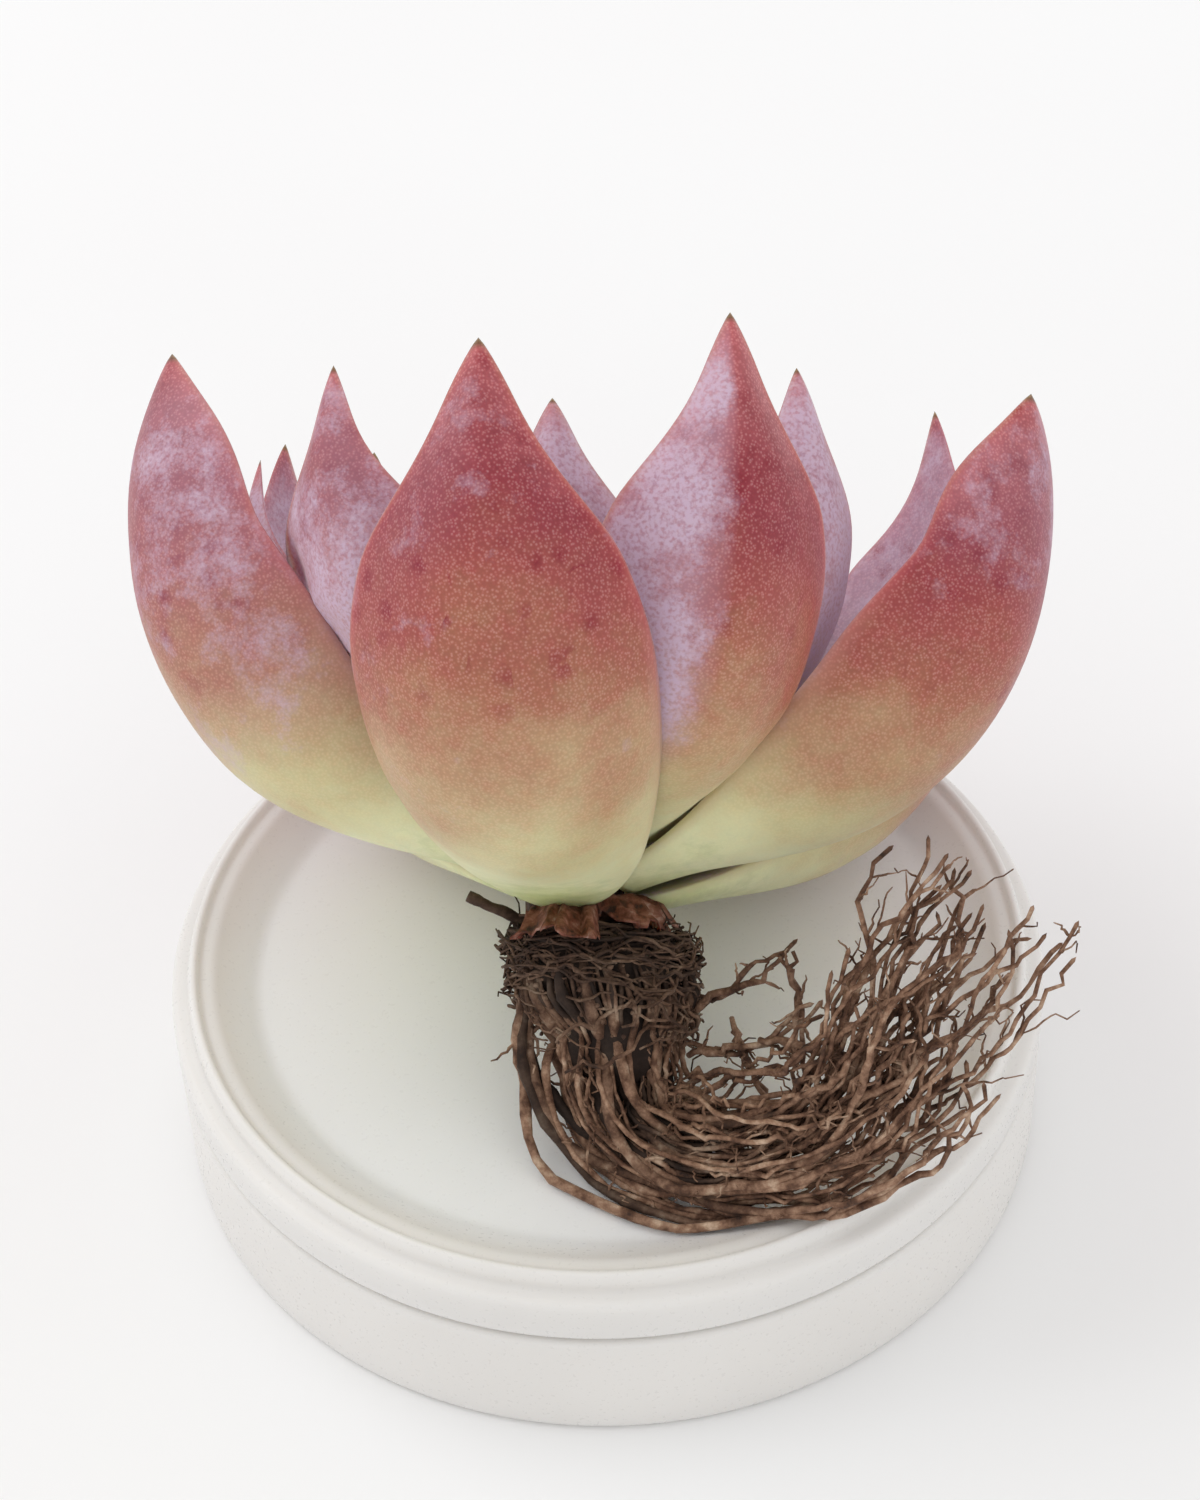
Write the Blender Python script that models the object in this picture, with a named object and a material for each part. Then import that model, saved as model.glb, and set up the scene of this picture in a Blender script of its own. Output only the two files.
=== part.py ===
"""A bare-rooted succulent rosette that leans back on the lid of a small round tub.

Metres, +Z up. The origin is the centre of the tub's flat underside, and -Y is the front.
The plant is modelled upright in its own frame, with +Z along the stem, and a parent empty
leans it back and lets it down until its rear leaves rest on the lid. The roots hang from the
crown, run over the lid and rise again at their free ends.
"""

import math

import bmesh
import bpy
from mathutils import Matrix, Vector, noise
from mathutils.bvhtree import BVHTree

# ---------------------------------------------------------------- driving dimensions
GAP = 0.0003                    # clearance kept between two pieces that touch

# Tub and lid
TUB_RADIUS = 0.0275             # outside of the tub's wall and of the lid's skirt
TUB_WALL = 0.0011
TUB_FLOOR = 0.0012
TUB_SHOULDER = 0.0086           # underside to the shoulder that the lid's skirt stands over
TUB_MOUTH = 0.0108              # underside to the rim of the mouth
FOOT_ROUND = 0.0008             # width and height of the round where wall and underside meet
LID_TOP = 0.0135                # underside of the tub to the crest of the lid's ring
LID_WALL = 0.0010
LID_LEDGE_DROP = 0.0012         # crest down to the ledge around it
RING_SET_IN = 0.0011            # skirt's outside in to the outside of the ring
RING_WIDTH = 0.0016             # the raised ring's crest
DISC_DROP = 0.0021              # crest down to the recessed disc
DISC_SLOPE = 0.0026             # width of the slope from crest down to disc
ROUND_STEPS = 48                # facets around the tub and the lid

# Where the foot of the rosette stands over the lid, and how the plant leans
SEAT_ASIDE = -0.0017
SEAT_BACK = -0.0053
LEAN_BACK = math.radians(48.5)
LEAN_SIDE = math.radians(2.7)

# Stem, and the tight bud at its top
STEM_RADIUS = 0.0030            # at the oldest leaf
STEM_TIP_RADIUS = 0.0010
STEM_BELOW = 0.0014             # bare neck below the oldest leaf
BUD_LENGTH = 0.0050
BUD_RADIUS = 0.0011

# Rosette
LEAF_COUNT = 24
LEAF_RISE = 0.00046             # up the stem from one leaf to the next
TURN = math.radians(-137.5)     # from one leaf to the next younger one
FIRST_TURN = math.radians(123.5)    # the oldest leaf, from the front towards +X
LEAF_LENGTH = 0.0441            # oldest leaf, along its midrib
LEAF_HALF_WIDTH = 0.0084
LEAF_BELLY = 0.0037             # thickness below the midrib
LEAF_CROWN = 0.0009             # thickness above it
LEAF_THINNEST = 0.0005          # what is left of a leaf where its neighbours press it flat
WIDEST = 0.55                   # where a leaf is widest, as a share of its length
FOOT_SHARE = 0.32               # half width where it joins the stem, as a share of the widest
LEAF_RINGS = 11
LEAF_SIDES = 10
PRESS_GAP = 0.00045             # clearance the corners of a pressed leaf keep
PRESS_STEP = 0.0001             # a leaf is lifted off the older ones in steps of this
PRESS_ROUNDS = 30               # and tried again up to this many times

# Leaves off the even spiral, by number: degrees of turn, of lean at the foot and at the tip, and
# of twist, then the share of length
ODD_LEAVES = {
    1: (3.0, -2.0, -1.0, 0.0, 0.975),
    2: (0.0, 3.5, 2.0, 0.0, 1.000),
    3: (-3.5, 2.0, -9.0, -16.0, 0.960),
    4: (0.0, 4.0, 2.0, 12.0, 1.000),
    5: (0.0, 2.0, 1.0, 0.0, 1.000),
    6: (0.5, 1.5, 1.0, 0.0, 1.020),
    7: (-6.0, 3.5, 2.0, 0.0, 0.975),
    8: (-2.0, 0.5, 0.0, 20.0, 1.035),
    9: (-3.5, -1.5, -1.0, 0.0, 1.010),
    11: (-5.5, 3.5, 2.0, -14.0, 1.000),
    12: (-1.0, -6.0, -3.0, 0.0, 0.975),
    14: (-4.0, -0.5, 0.0, 0.0, 0.990),
}

# Crown of old roots below the stem: height, offset towards +X and half width of each level
CROWN_LEVELS = (
    (-0.0017, 0.0005, 0.0040),
    (-0.0025, 0.0011, 0.0054),
    (-0.0042, 0.0015, 0.0058),
    (-0.0062, 0.0019, 0.0053),
    (-0.0082, 0.0023, 0.0046),
)
CROWN_FLATNESS = 0.86           # depth as a share of width
CROWN_CLEARANCE = 0.0050        # least height of the crown's lower end over the lid's disc
CROWN_SIDES = 16

# Root bundle: half its breadth and depth where it leaves the crown; then its middle line, with
# heights over the lid's disc, and half its breadth and depth there
BUNDLE_START = (0.0034, 0.0024)
BUNDLE = (
    (Vector((0.0016, -0.0155, 0.0031)), 0.0034, 0.0019),
    (Vector((0.0060, -0.0187, 0.0033)), 0.0032, 0.0015),
    (Vector((0.0116, -0.0199, 0.0060)), 0.0033, 0.0014),
    (Vector((0.0148, -0.0192, 0.0101)), 0.0036, 0.0014),
    (Vector((0.0171, -0.0175, 0.0141)), 0.0040, 0.0015),
    (Vector((0.0200, -0.0154, 0.0177)), 0.0044, 0.0016),
    (Vector((0.0228, -0.0130, 0.0211)), 0.0048, 0.0017),
)
BUNDLE_FACES = Vector((0, -0.72, 0.69))     # the way the fan of roots faces
# Where each root runs in the bundle: share of the depth, then shares of the breadth
LAYERS = (
    (1.0, (-0.75, -0.25, 0.25, 0.75)),
    (0.0, (-1.0, -0.5, 0.0, 0.5, 1.0)),
    (-1.0, (-0.5, -0.05, 0.4)),
)
ROOT_RADIUS = 0.00052
ROOT_TIP_RADIUS = 0.00022
ROOT_WANDER = 0.00012           # how far a root strays from its even line
ROOT_WANDER_SEED = 2            # each seed gives another stray, the same every time
ROOT_SIDES = 6
ROOT_STEPS = 15

# Thin roots that leave the side of the crown on their own, with heights over the lid's disc
SIDE_ROOTS = (
    (Vector((0.0066, -0.0108, 0.0084)), Vector((0.0087, -0.0116, 0.0112)),
     Vector((0.0106, -0.0119, 0.0136))),
    (Vector((0.0063, -0.0134, 0.0066)), Vector((0.0090, -0.0142, 0.0085)),
     Vector((0.0122, -0.0146, 0.0118))),
)
SIDE_ROOT_RADIUS = 0.00030

# Dry flakes left by fallen leaves: turn from the front, half their arc, reach and height
FLAKES = ((-8, 34, 0.0056, -0.0010), (58, 24, 0.0052, -0.0009), (-150, 30, 0.0050, -0.0010))
FLAKE_THICKNESS = 0.00030
STALK_FROM = Vector((-0.0037, -0.0004, -0.0010))
STALK_TO = Vector((-0.0064, -0.0008, 0.0003))
STALK_RADIUS = 0.00035


def mix(a, b, t):
    """The value a share t of the way from a to b."""
    return a + (b - a) * t


def ease(t):
    """0 to 1 with a level start and end."""
    t = min(max(t, 0.0), 1.0)
    return t * t * (3 - 2 * t)


# ---------------------------------------------------------------- general shapes
def material(name, colour, roughness):
    """A plain Principled material."""
    made = bpy.data.materials.new(name)
    made.use_nodes = True
    shader = made.node_tree.nodes["Principled BSDF"]
    shader.inputs["Base Color"].default_value = (*colour, 1)
    shader.inputs["Roughness"].default_value = roughness
    return made


def add(name, mesh, finish, parent=None, matrix=None):
    """An object for one sub-part."""
    piece = bpy.data.objects.new(name, mesh)
    bpy.context.scene.collection.objects.link(piece)
    mesh.materials.clear()
    mesh.materials.append(finish)
    if parent is not None:
        piece.parent = parent
    if matrix is not None:
        piece.matrix_basis = matrix
    return piece


def loft(rings, start=None, end=None):
    """A closed mesh through rings of equal size, with its ends drawn to a point or capped flat."""
    bm = bmesh.new()
    loops = [[bm.verts.new(p) for p in ring] for ring in rings]
    count = len(rings[0])
    for a, b in zip(loops, loops[1:]):
        for k in range(count):
            m = (k + 1) % count
            bm.faces.new((a[k], a[m], b[m], b[k]))
    for loop, point, flip in ((loops[0], start, True), (loops[-1], end, False)):
        if point is None:
            bm.faces.new(loop[::-1] if flip else loop)
            continue
        apex = bm.verts.new(point)
        for k in range(count):
            m = (k + 1) % count
            bm.faces.new((loop[m], loop[k], apex) if flip else (loop[k], loop[m], apex))
    bmesh.ops.recalc_face_normals(bm, faces=bm.faces)
    mesh = bpy.data.meshes.new("loft")
    bm.to_mesh(mesh)
    bm.free()
    mesh.shade_smooth()
    return mesh


def circle(centre, across, deep, sides):
    """Corners of an oval around a centre, from its two half axes."""
    turns = [2 * math.pi * k / sides for k in range(sides)]
    return [centre + across * math.cos(t) + deep * math.sin(t) for t in turns]


def make_lathe(name, profile, finish):
    """A turned solid from an outline of (radius, height) points, run round the Z axis."""
    bm = bmesh.new()
    verts = [bm.verts.new((r, 0, z)) for r, z in profile]
    edges = [bm.edges.new((a, b)) for a, b in zip(verts, verts[1:] + verts[:1])
             if a.co.x > 0 or b.co.x > 0]
    bmesh.ops.spin(bm, geom=verts + edges, cent=(0, 0, 0), axis=(0, 0, 1),
                   angle=2 * math.pi, steps=ROUND_STEPS, use_merge=True)
    bmesh.ops.remove_doubles(bm, verts=bm.verts, dist=1e-6)
    bmesh.ops.recalc_face_normals(bm, faces=bm.faces)
    mesh = bpy.data.meshes.new(name)
    bm.to_mesh(mesh)
    bm.free()
    mesh.shade_smooth()
    mesh.set_sharp_from_angle(angle=math.radians(30))
    return add(name, mesh, finish)


def smooth_path(points, share):
    """A point of the smooth curve through control points, by its share of the way."""
    at = share * (len(points) - 1)
    i = min(int(at), len(points) - 2)
    t = at - i
    b, c = points[i], points[i + 1]
    a = points[i - 1] if i > 0 else b * 2 - c
    d = points[i + 2] if i + 2 < len(points) else c * 2 - b
    return (b * 2 + (c - a) * t + (a * 2 - b * 5 + c * 4 - d) * t ** 2
            + (b * 3 - a - c * 3 + d) * t ** 3) / 2


# ---------------------------------------------------------------- tub and lid
def make_tub(finish):
    """The tub: a shallow wall with a shoulder and a thinner neck, open at the top."""
    neck = TUB_RADIUS - LID_WALL - GAP
    inner = neck - TUB_WALL
    return make_lathe("tub", [
        (0, 0), (TUB_RADIUS - FOOT_ROUND, 0), (TUB_RADIUS - FOOT_ROUND * 0.3, FOOT_ROUND * 0.3),
        (TUB_RADIUS, FOOT_ROUND), (TUB_RADIUS, TUB_SHOULDER), (neck, TUB_SHOULDER),
        (neck, TUB_MOUTH), (inner, TUB_MOUTH), (inner, TUB_FLOOR), (0, TUB_FLOOR)], finish)


def disc_height():
    """Height of the recessed disc on top of the lid, which the plant rests on."""
    return LID_TOP - DISC_DROP


def lid_height(point):
    """Height of the lid's top side under a point, and of the floor beyond its edge."""
    slope_top = TUB_RADIUS - RING_SET_IN - RING_WIDTH
    out = math.hypot(point.x, point.y)
    if out > TUB_RADIUS:
        return 0.0
    climb = min(max((out - slope_top) / DISC_SLOPE + 1, 0.0), 1.0)
    return disc_height() + DISC_DROP * climb


def make_lid(finish):
    """The lid: a skirt around the tub's neck, a raised ring, and a recessed disc inside it."""
    ledge = LID_TOP - LID_LEDGE_DROP
    ring = TUB_RADIUS - RING_SET_IN
    slope_top = ring - RING_WIDTH
    disc_edge = slope_top - DISC_SLOPE
    disc = disc_height()
    bevel = LID_WALL * 0.3
    inside = TUB_RADIUS - LID_WALL
    return make_lathe("lid", [
        (0, disc), (disc_edge, disc), (slope_top, LID_TOP - bevel),
        (mix(slope_top, ring, 0.4), LID_TOP), (mix(slope_top, ring, 0.7), LID_TOP),
        (ring, LID_TOP - bevel * 1.5), (ring, ledge), (TUB_RADIUS - bevel, ledge),
        (TUB_RADIUS, ledge - bevel), (TUB_RADIUS, TUB_SHOULDER + GAP),
        (inside, TUB_SHOULDER + GAP), (inside, TUB_MOUTH + GAP),
        (slope_top, TUB_MOUTH + GAP), (disc_edge - LID_WALL, disc - LID_WALL),
        (0, disc - LID_WALL)], finish)


# ---------------------------------------------------------------- stem and leaves
def stem_top():
    """Height of the stem's top."""
    return LEAF_RISE * LEAF_COUNT


def stem_radius(height):
    """The stem's radius at a height, which stays even below the oldest leaf."""
    return mix(STEM_RADIUS, STEM_TIP_RADIUS, max(height, 0.0) / stem_top())


def make_stem(finish, plant):
    """The short stem that all leaves join."""
    heights = (-STEM_BELOW, 0.0, stem_top() * 0.5, stem_top())
    rings = [circle(Vector((0, 0, h)), Vector((stem_radius(h), 0, 0)),
                    Vector((0, stem_radius(h), 0)), 16) for h in heights]
    return add("stem", loft(rings), finish, plant)


def make_bud(finish, plant):
    """The closed bud at the top of the stem."""
    rings = []
    for share, width in ((0.0, 0.75), (0.25, 1.0), (0.5, 0.95), (0.75, 0.62)):
        at = Vector((0, 0, stem_top() + GAP + BUD_LENGTH * share))
        rings.append(circle(at, Vector((BUD_RADIUS * width, 0, 0)),
                            Vector((0, BUD_RADIUS * width, 0)), 10))
    tip = Vector((0, 0, stem_top() + GAP + BUD_LENGTH))
    return add("bud", loft(rings, end=tip), finish, plant)


def leaf_form(number):
    """The dimensions of a leaf by its number, from 0, the oldest and lowest, up to the youngest."""
    age = number / (LEAF_COUNT - 1)
    turn, foot_lean, tip_lean, twist, longer = ODD_LEAVES.get(number, (0, 0, 0, 0, 1))
    return {
        "turn": FIRST_TURN + TURN * number + math.radians(turn),
        "height": LEAF_RISE * number,
        "length": LEAF_LENGTH * mix(1.0, 0.20, age ** 1.4) * longer,
        "half_width": LEAF_HALF_WIDTH * mix(1.0, 0.25, age ** 1.3),
        "belly": LEAF_BELLY * mix(1.0, 0.35, age),
        "crown": LEAF_CROWN * mix(1.0, 0.40, age),
        "base_angle": math.radians(mix(17.7, 82, age ** 2.45) + foot_lean),
        "tip_angle": math.radians(93 + tip_lean),
        "twist": math.radians(twist),
        "cup": mix(0.26, 0.45, age),
    }


def leaf_outline(s):
    """Half width along the leaf, as a share of the widest."""
    if s < WIDEST:
        return mix(FOOT_SHARE, 1.0, math.sin(math.pi / 2 * s / WIDEST) ** 0.75)
    return max(math.cos(math.pi / 2 * (s - WIDEST) / (1 - WIDEST)), 0.0) ** 0.85


def leaf_depth(s):
    """Thickness along the leaf, as a share of the thickest."""
    if s < 0.42:
        return mix(0.34, 1.0, ease(s / 0.42))
    return (1 - ((s - 0.42) / 0.58) ** 2.0) ** 0.9


def leaf_midrib(form, steps=60):
    """Points and directions of the midrib in the leaf's own upright plane: out, up and angle."""
    out, up, line = 0.0, 0.0, []
    for i in range(steps + 1):
        bend = ease((i / steps - 0.14) / 0.86)
        angle = mix(form["base_angle"], form["tip_angle"], bend)
        line.append((out, up, angle))
        out += math.cos(angle) * form["length"] / steps
        up += math.sin(angle) * form["length"] / steps
    return line


def leaf_ring(form, line, s):
    """Corners of one cross-section in the leaf's frame, and the way its upper face looks there."""
    at = s * (len(line) - 1)
    low = min(int(at), len(line) - 2)
    out, up, angle = (mix(line[low][k], line[low + 1][k], at - low) for k in range(3))
    twist = form["twist"] * ease(s / 0.6)
    flat = Vector((0, math.sin(angle), math.cos(angle)))
    across = Vector((math.cos(twist), 0, 0)) + flat * math.sin(twist)
    inwards = flat * math.cos(twist) - Vector((math.sin(twist), 0, 0))
    half = form["half_width"] * leaf_outline(s)
    belly, crown = form["belly"] * leaf_depth(s), form["crown"] * leaf_depth(s)
    keel = mix(1.0, 1.35, ease((s - 0.45) / 0.5))
    ring = []
    for k in range(LEAF_SIDES):
        t = 2 * math.pi * k / LEAF_SIDES
        x = half * math.cos(t)
        lift = crown * math.sin(t) if math.sin(t) > 0 else -belly * (-math.sin(t)) ** keel
        n = lift + form["cup"] * ease(s / 0.35) * x * x / form["half_width"]
        ring.append(Vector((0, -out, up)) + across * x + inwards * n)
    return ring, inwards


def is_inside(tree, point):
    """Whether a line up from a point leaves a closed leaf: it then crosses the skin an odd number of times."""
    crossings = 0
    at = point
    while True:
        hit, _, _, _ = tree.ray_cast(at, Vector((0.013, 0.029, 1)))
        if hit is None:
            return crossings % 2 == 1
        crossings += 1
        at = hit + Vector((0.013, 0.029, 1)) * 1e-6


def lift_clear(point, way, thick, older):
    """How far a point has to move to stand clear of every older leaf, where the leaf is so thick."""
    moved = 0.0
    for tree in older:
        hit, _, _, reach = tree.ray_cast(point + way * thick, -way, thick)
        if hit is not None:
            moved = max(moved, thick - reach)
    while moved < 0.006:
        at = point + way * moved
        if not any(tree.find_nearest(at)[3] < PRESS_GAP or is_inside(tree, at) for tree in older):
            break
        moved += PRESS_STEP
    return moved


def first_lifts(rings, ways, place, older):
    """How far to lift each corner of a leaf's underside, ring by ring, from one edge to the other."""
    turned = place.to_3x3()
    half = LEAF_SIDES // 2
    lifts = []
    for ring, way in zip(rings, ways):
        lifts.append([lift_clear(place @ ring[-k % LEAF_SIDES], turned @ way,
                                 (ring[k] - ring[-k % LEAF_SIDES]).length, older)
                      for k in range(half + 1)])
    last = len(rings) - 1
    return [[max(row[k], (lifts[max(i - 1, 0)][k] + lifts[min(i + 1, last)][k]) / 2)
             for k in range(half + 1)] for i, row in enumerate(lifts)]


def pressed_rings(rings, ways, lifts):
    """The rings with their underside lifted, and their upper face where the leaf gets too thin."""
    half = LEAF_SIDES // 2
    pressed = []
    for ring, way, row in zip(rings, ways, lifts):
        points = [point.copy() for point in ring]
        for k in range(half + 1):
            under = -k % LEAF_SIDES
            thick = (ring[k] - ring[under]).length
            points[under] += way * row[k]
            if k not in (0, half):
                points[k] += way * max(row[k] - thick + min(thick, LEAF_THINNEST), 0.0)
        pressed.append(points)
    return pressed


def make_leaf(number, finish, plant, older):
    """One leaf, in place on the stem and pressed flat where it lies on older ones."""
    form = leaf_form(number)
    line = leaf_midrib(form)
    place = (Matrix.Rotation(form["turn"], 4, "Z")
             @ Matrix.Translation((0, -stem_radius(form["height"]) - GAP, form["height"])))
    stations = [ease(i / LEAF_RINGS) * 0.35 + 0.65 * i / LEAF_RINGS for i in range(LEAF_RINGS)]
    rings, ways = zip(*(leaf_ring(form, line, s) for s in stations))
    lifts = first_lifts(rings, ways, place, older)
    tip = Vector((0, -line[-1][0], line[-1][1]))
    for _ in range(PRESS_ROUNDS):
        mesh = loft(pressed_rings(rings, ways, lifts), end=tip)
        mesh.calc_loop_triangles()
        corners = [place @ vertex.co for vertex in mesh.vertices]
        faces = [tuple(triangle.vertices) for triangle in mesh.loop_triangles]
        skin = BVHTree.FromPolygons(corners, faces)
        crossed = {corner for leaf in older for face, _ in skin.overlap(leaf)
                   for corner in faces[face] if corner < len(rings) * LEAF_SIDES}
        if not crossed:
            break
        for i, k in {(c // LEAF_SIDES, min(c % LEAF_SIDES, -c % LEAF_SIDES)) for c in crossed}:
            lifts[i][k] += PRESS_STEP * 2
    older.append(skin)
    return add(f"leaf_{number + 1:02d}", mesh, finish, plant, place)


# ---------------------------------------------------------------- crown, roots and dry flakes
def make_crown(finish, plant):
    """The clump of old roots below the stem."""
    rings = []
    for height, aside, half in CROWN_LEVELS:
        ring = circle(Vector((aside, 0, height)), Vector((half, 0, 0)),
                      Vector((0, half * CROWN_FLATNESS, 0)), CROWN_SIDES)
        for point in ring:
            rough = 1 + 0.05 * noise.noise(point * 700)
            point.x = mix(aside, point.x, rough)
            point.y *= rough
        rings.append(ring)
    return add("root_crown", loft(rings), finish, plant)


def make_root(name, path, radius, tip_radius, finish):
    """A tapering root along a path of points."""
    rings = []
    for i, point in enumerate(path):
        along = (path[min(i + 1, len(path) - 1)] - path[max(i - 1, 0)]).normalized()
        across = along.cross(BUNDLE_FACES).normalized()
        thick = mix(radius, tip_radius, (i / (len(path) - 1)) ** 1.5)
        rings.append(circle(point, across * thick, along.cross(across) * thick, ROOT_SIDES))
    return add(name, loft(rings), finish)


def bundle_path(number, breadth, depth, place):
    """The line of one root of the bundle, at its share of the breadth and of the depth."""
    bottom, aside, half = CROWN_LEVELS[-1]
    above = Vector((0, 0, disc_height()))
    start = place @ Vector((aside - breadth * half * 0.76,
                            -depth * half * CROWN_FLATNESS * 0.60, bottom - GAP))
    down = place.to_3x3() @ Vector((0, 0, -1))
    middle = [place @ Vector((aside, 0, bottom - GAP))] + [above + level[0] for level in BUNDLE]
    sizes = [Vector((*BUNDLE_START, 0))] + [Vector((*level[1:], 0)) for level in BUNDLE]
    reach = 0.86 + 0.14 * abs(noise.noise(Vector((number * 3.7, 0.5, 0)))) * 2
    reach = min(reach, 1.0)
    path = []
    for i in range(ROOT_STEPS + 1):
        share = reach * i / ROOT_STEPS
        here = smooth_path(middle, share)
        ahead = smooth_path(middle, min(share + 0.02, 1.0))
        back = smooth_path(middle, max(share - 0.02, 0.0))
        across = (ahead - back).cross(BUNDLE_FACES).normalized()
        size = smooth_path(sizes, share)
        stray = noise.noise_vector(Vector((number * 5.3, share * 6, 0.2))) * ROOT_WANDER
        even = here + across * size.x * breadth + BUNDLE_FACES * size.y * depth + stray
        path.append((start + down * share * 0.034).lerp(even, ease(share / 0.22)))
    return path


def make_roots(finish, place):
    """Every root of the bundle, and the thin ones at its side, for a plant that stands so."""
    number = 0
    for depth, breadths in LAYERS:
        for breadth in breadths:
            number += 1
            make_root(f"root_{number:02d}", bundle_path(number, breadth, depth, place),
                      ROOT_RADIUS, ROOT_TIP_RADIUS, finish)
    for points in SIDE_ROOTS:
        number += 1
        path = [smooth_path(points, i / 6) + Vector((0, 0, disc_height())) for i in range(7)]
        make_root(f"root_{number:02d}", path, SIDE_ROOT_RADIUS, SIDE_ROOT_RADIUS * 0.6, finish)


def make_flake(name, turn, half_arc, reach, height, finish, plant):
    """A thin dry flake that stands out from the neck."""
    rings = []
    for i in range(7):
        angle = math.radians(turn + half_arc * (i / 3 - 1))
        out = Vector((math.sin(angle), -math.cos(angle), 0))
        narrow = mix(reach, STEM_RADIUS + GAP, abs(i / 3 - 1) ** 2 * 0.6)
        inner = out * (STEM_RADIUS + GAP) + Vector((0, 0, height - FLAKE_THICKNESS))
        outer = out * narrow + Vector((0, 0, height))
        lift = Vector((0, 0, FLAKE_THICKNESS))
        rings.append([inner, outer, outer + lift, inner + lift])
    return add(name, loft(rings), finish, plant)


def make_stalk(finish, plant):
    """The dry stub of an old flower stalk or root at the neck's side."""
    along = (STALK_TO - STALK_FROM).normalized()
    across = along.cross(Vector((0, 1, 0))).normalized() * STALK_RADIUS
    deep = along.cross(across)
    rings = [circle(mix(STALK_FROM, STALK_TO, share), across * size, deep * size, 6)
             for share, size in ((0, 1.0), (0.5, 0.8), (1, 0.9))]
    return add("dry_stalk", loft(rings), finish, plant)


def settle(leaves, plant):
    """Lets the leaning plant down until its lowest leaf rests on the lid, with room for its roots."""
    leaned = (Matrix.Translation((SEAT_ASIDE, SEAT_BACK, 0))
              @ Matrix.Rotation(LEAN_SIDE, 4, "Y") @ Matrix.Rotation(-LEAN_BACK, 4, "X"))
    spots = []
    for leaf in leaves:
        corners = [leaned @ leaf.matrix_basis @ vertex.co for vertex in leaf.data.vertices]
        spots += corners + [(corners[a] + corners[b]) / 2 for a, b in leaf.data.edge_keys]
    crown_end = leaned @ Vector((CROWN_LEVELS[-1][1], 0, CROWN_LEVELS[-1][0]))
    rise = max(max(lid_height(spot) + GAP - spot.z for spot in spots),
               disc_height() + CROWN_CLEARANCE - crown_end.z)
    plant.matrix_world = Matrix.Translation((0, 0, rise)) @ leaned
    return plant.matrix_world.copy()


def main():
    for old in list(bpy.data.objects):
        bpy.data.objects.remove(old)
    noise.seed_set(ROOT_WANDER_SEED)
    milky = material("milky polypropylene", (0.80, 0.80, 0.78), 0.35)
    leaf_skin = material("waxy leaf skin", (0.50, 0.16, 0.14), 0.45)
    bark = material("stem bark", (0.16, 0.09, 0.05), 0.80)
    root_skin = material("root bark", (0.14, 0.08, 0.05), 0.85)
    dry_skin = material("dry papery leaf", (0.34, 0.20, 0.12), 0.70)
    make_tub(milky)
    make_lid(milky)
    plant = bpy.data.objects.new("plant_seat", None)
    bpy.context.scene.collection.objects.link(plant)
    make_stem(bark, plant)
    make_bud(leaf_skin, plant)
    older = []
    leaves = [make_leaf(number, leaf_skin, plant, older) for number in range(LEAF_COUNT)]
    place = settle(leaves, plant)
    make_crown(root_skin, plant)
    make_roots(root_skin, place)
    for number, (turn, half_arc, reach, height) in enumerate(FLAKES, start=1):
        make_flake(f"flake_{number}", turn, half_arc, reach, height, dry_skin, plant)
    make_stalk(dry_skin, plant)


main()
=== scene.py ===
import math
import random

import bmesh
import bpy
from mathutils import Matrix, Vector, noise
from mathutils.bvhtree import BVHTree


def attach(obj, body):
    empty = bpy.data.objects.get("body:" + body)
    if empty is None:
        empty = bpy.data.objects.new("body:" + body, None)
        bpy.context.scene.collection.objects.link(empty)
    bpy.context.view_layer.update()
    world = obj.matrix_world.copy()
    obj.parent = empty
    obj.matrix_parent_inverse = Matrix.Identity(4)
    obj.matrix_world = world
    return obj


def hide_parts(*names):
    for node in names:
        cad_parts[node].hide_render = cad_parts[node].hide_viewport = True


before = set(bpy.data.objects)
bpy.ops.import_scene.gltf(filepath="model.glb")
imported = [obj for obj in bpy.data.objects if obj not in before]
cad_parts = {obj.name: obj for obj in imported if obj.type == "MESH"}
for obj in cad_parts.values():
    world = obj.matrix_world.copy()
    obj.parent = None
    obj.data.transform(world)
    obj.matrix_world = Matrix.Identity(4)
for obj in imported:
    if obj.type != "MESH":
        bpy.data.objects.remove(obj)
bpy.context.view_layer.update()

# ---------------------------------------------------------------- sizes of the model, in metres
GAP = 0.0003
NOISE_SEED = 4                  # the roots stray the same way every time

TUB_RADIUS = 0.0275
TUB_WALL = 0.0011
TUB_FLOOR = 0.0012
TUB_SHOULDER = 0.0086
TUB_MOUTH = 0.0108
FOOT_ROUND = 0.0008
LID_TOP = 0.0135
LID_WALL = 0.0010
LID_LEDGE_DROP = 0.0012
RING_SET_IN = 0.0011
RING_WIDTH = 0.0016
DISC_DROP = 0.0021
DISC_SLOPE = 0.0026
DISC_HEIGHT = LID_TOP - DISC_DROP
SLOPE_TOP = TUB_RADIUS - RING_SET_IN - RING_WIDTH

SEAT_ASIDE = -0.0017
SEAT_BACK = -0.0053
LEAN_BACK = math.radians(48.5)
LEAN_SIDE = math.radians(2.7)

STEM_RADIUS = 0.0030
STEM_TIP_RADIUS = 0.0010
BUD_LENGTH = 0.0050
BUD_RADIUS = 0.0011

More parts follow.
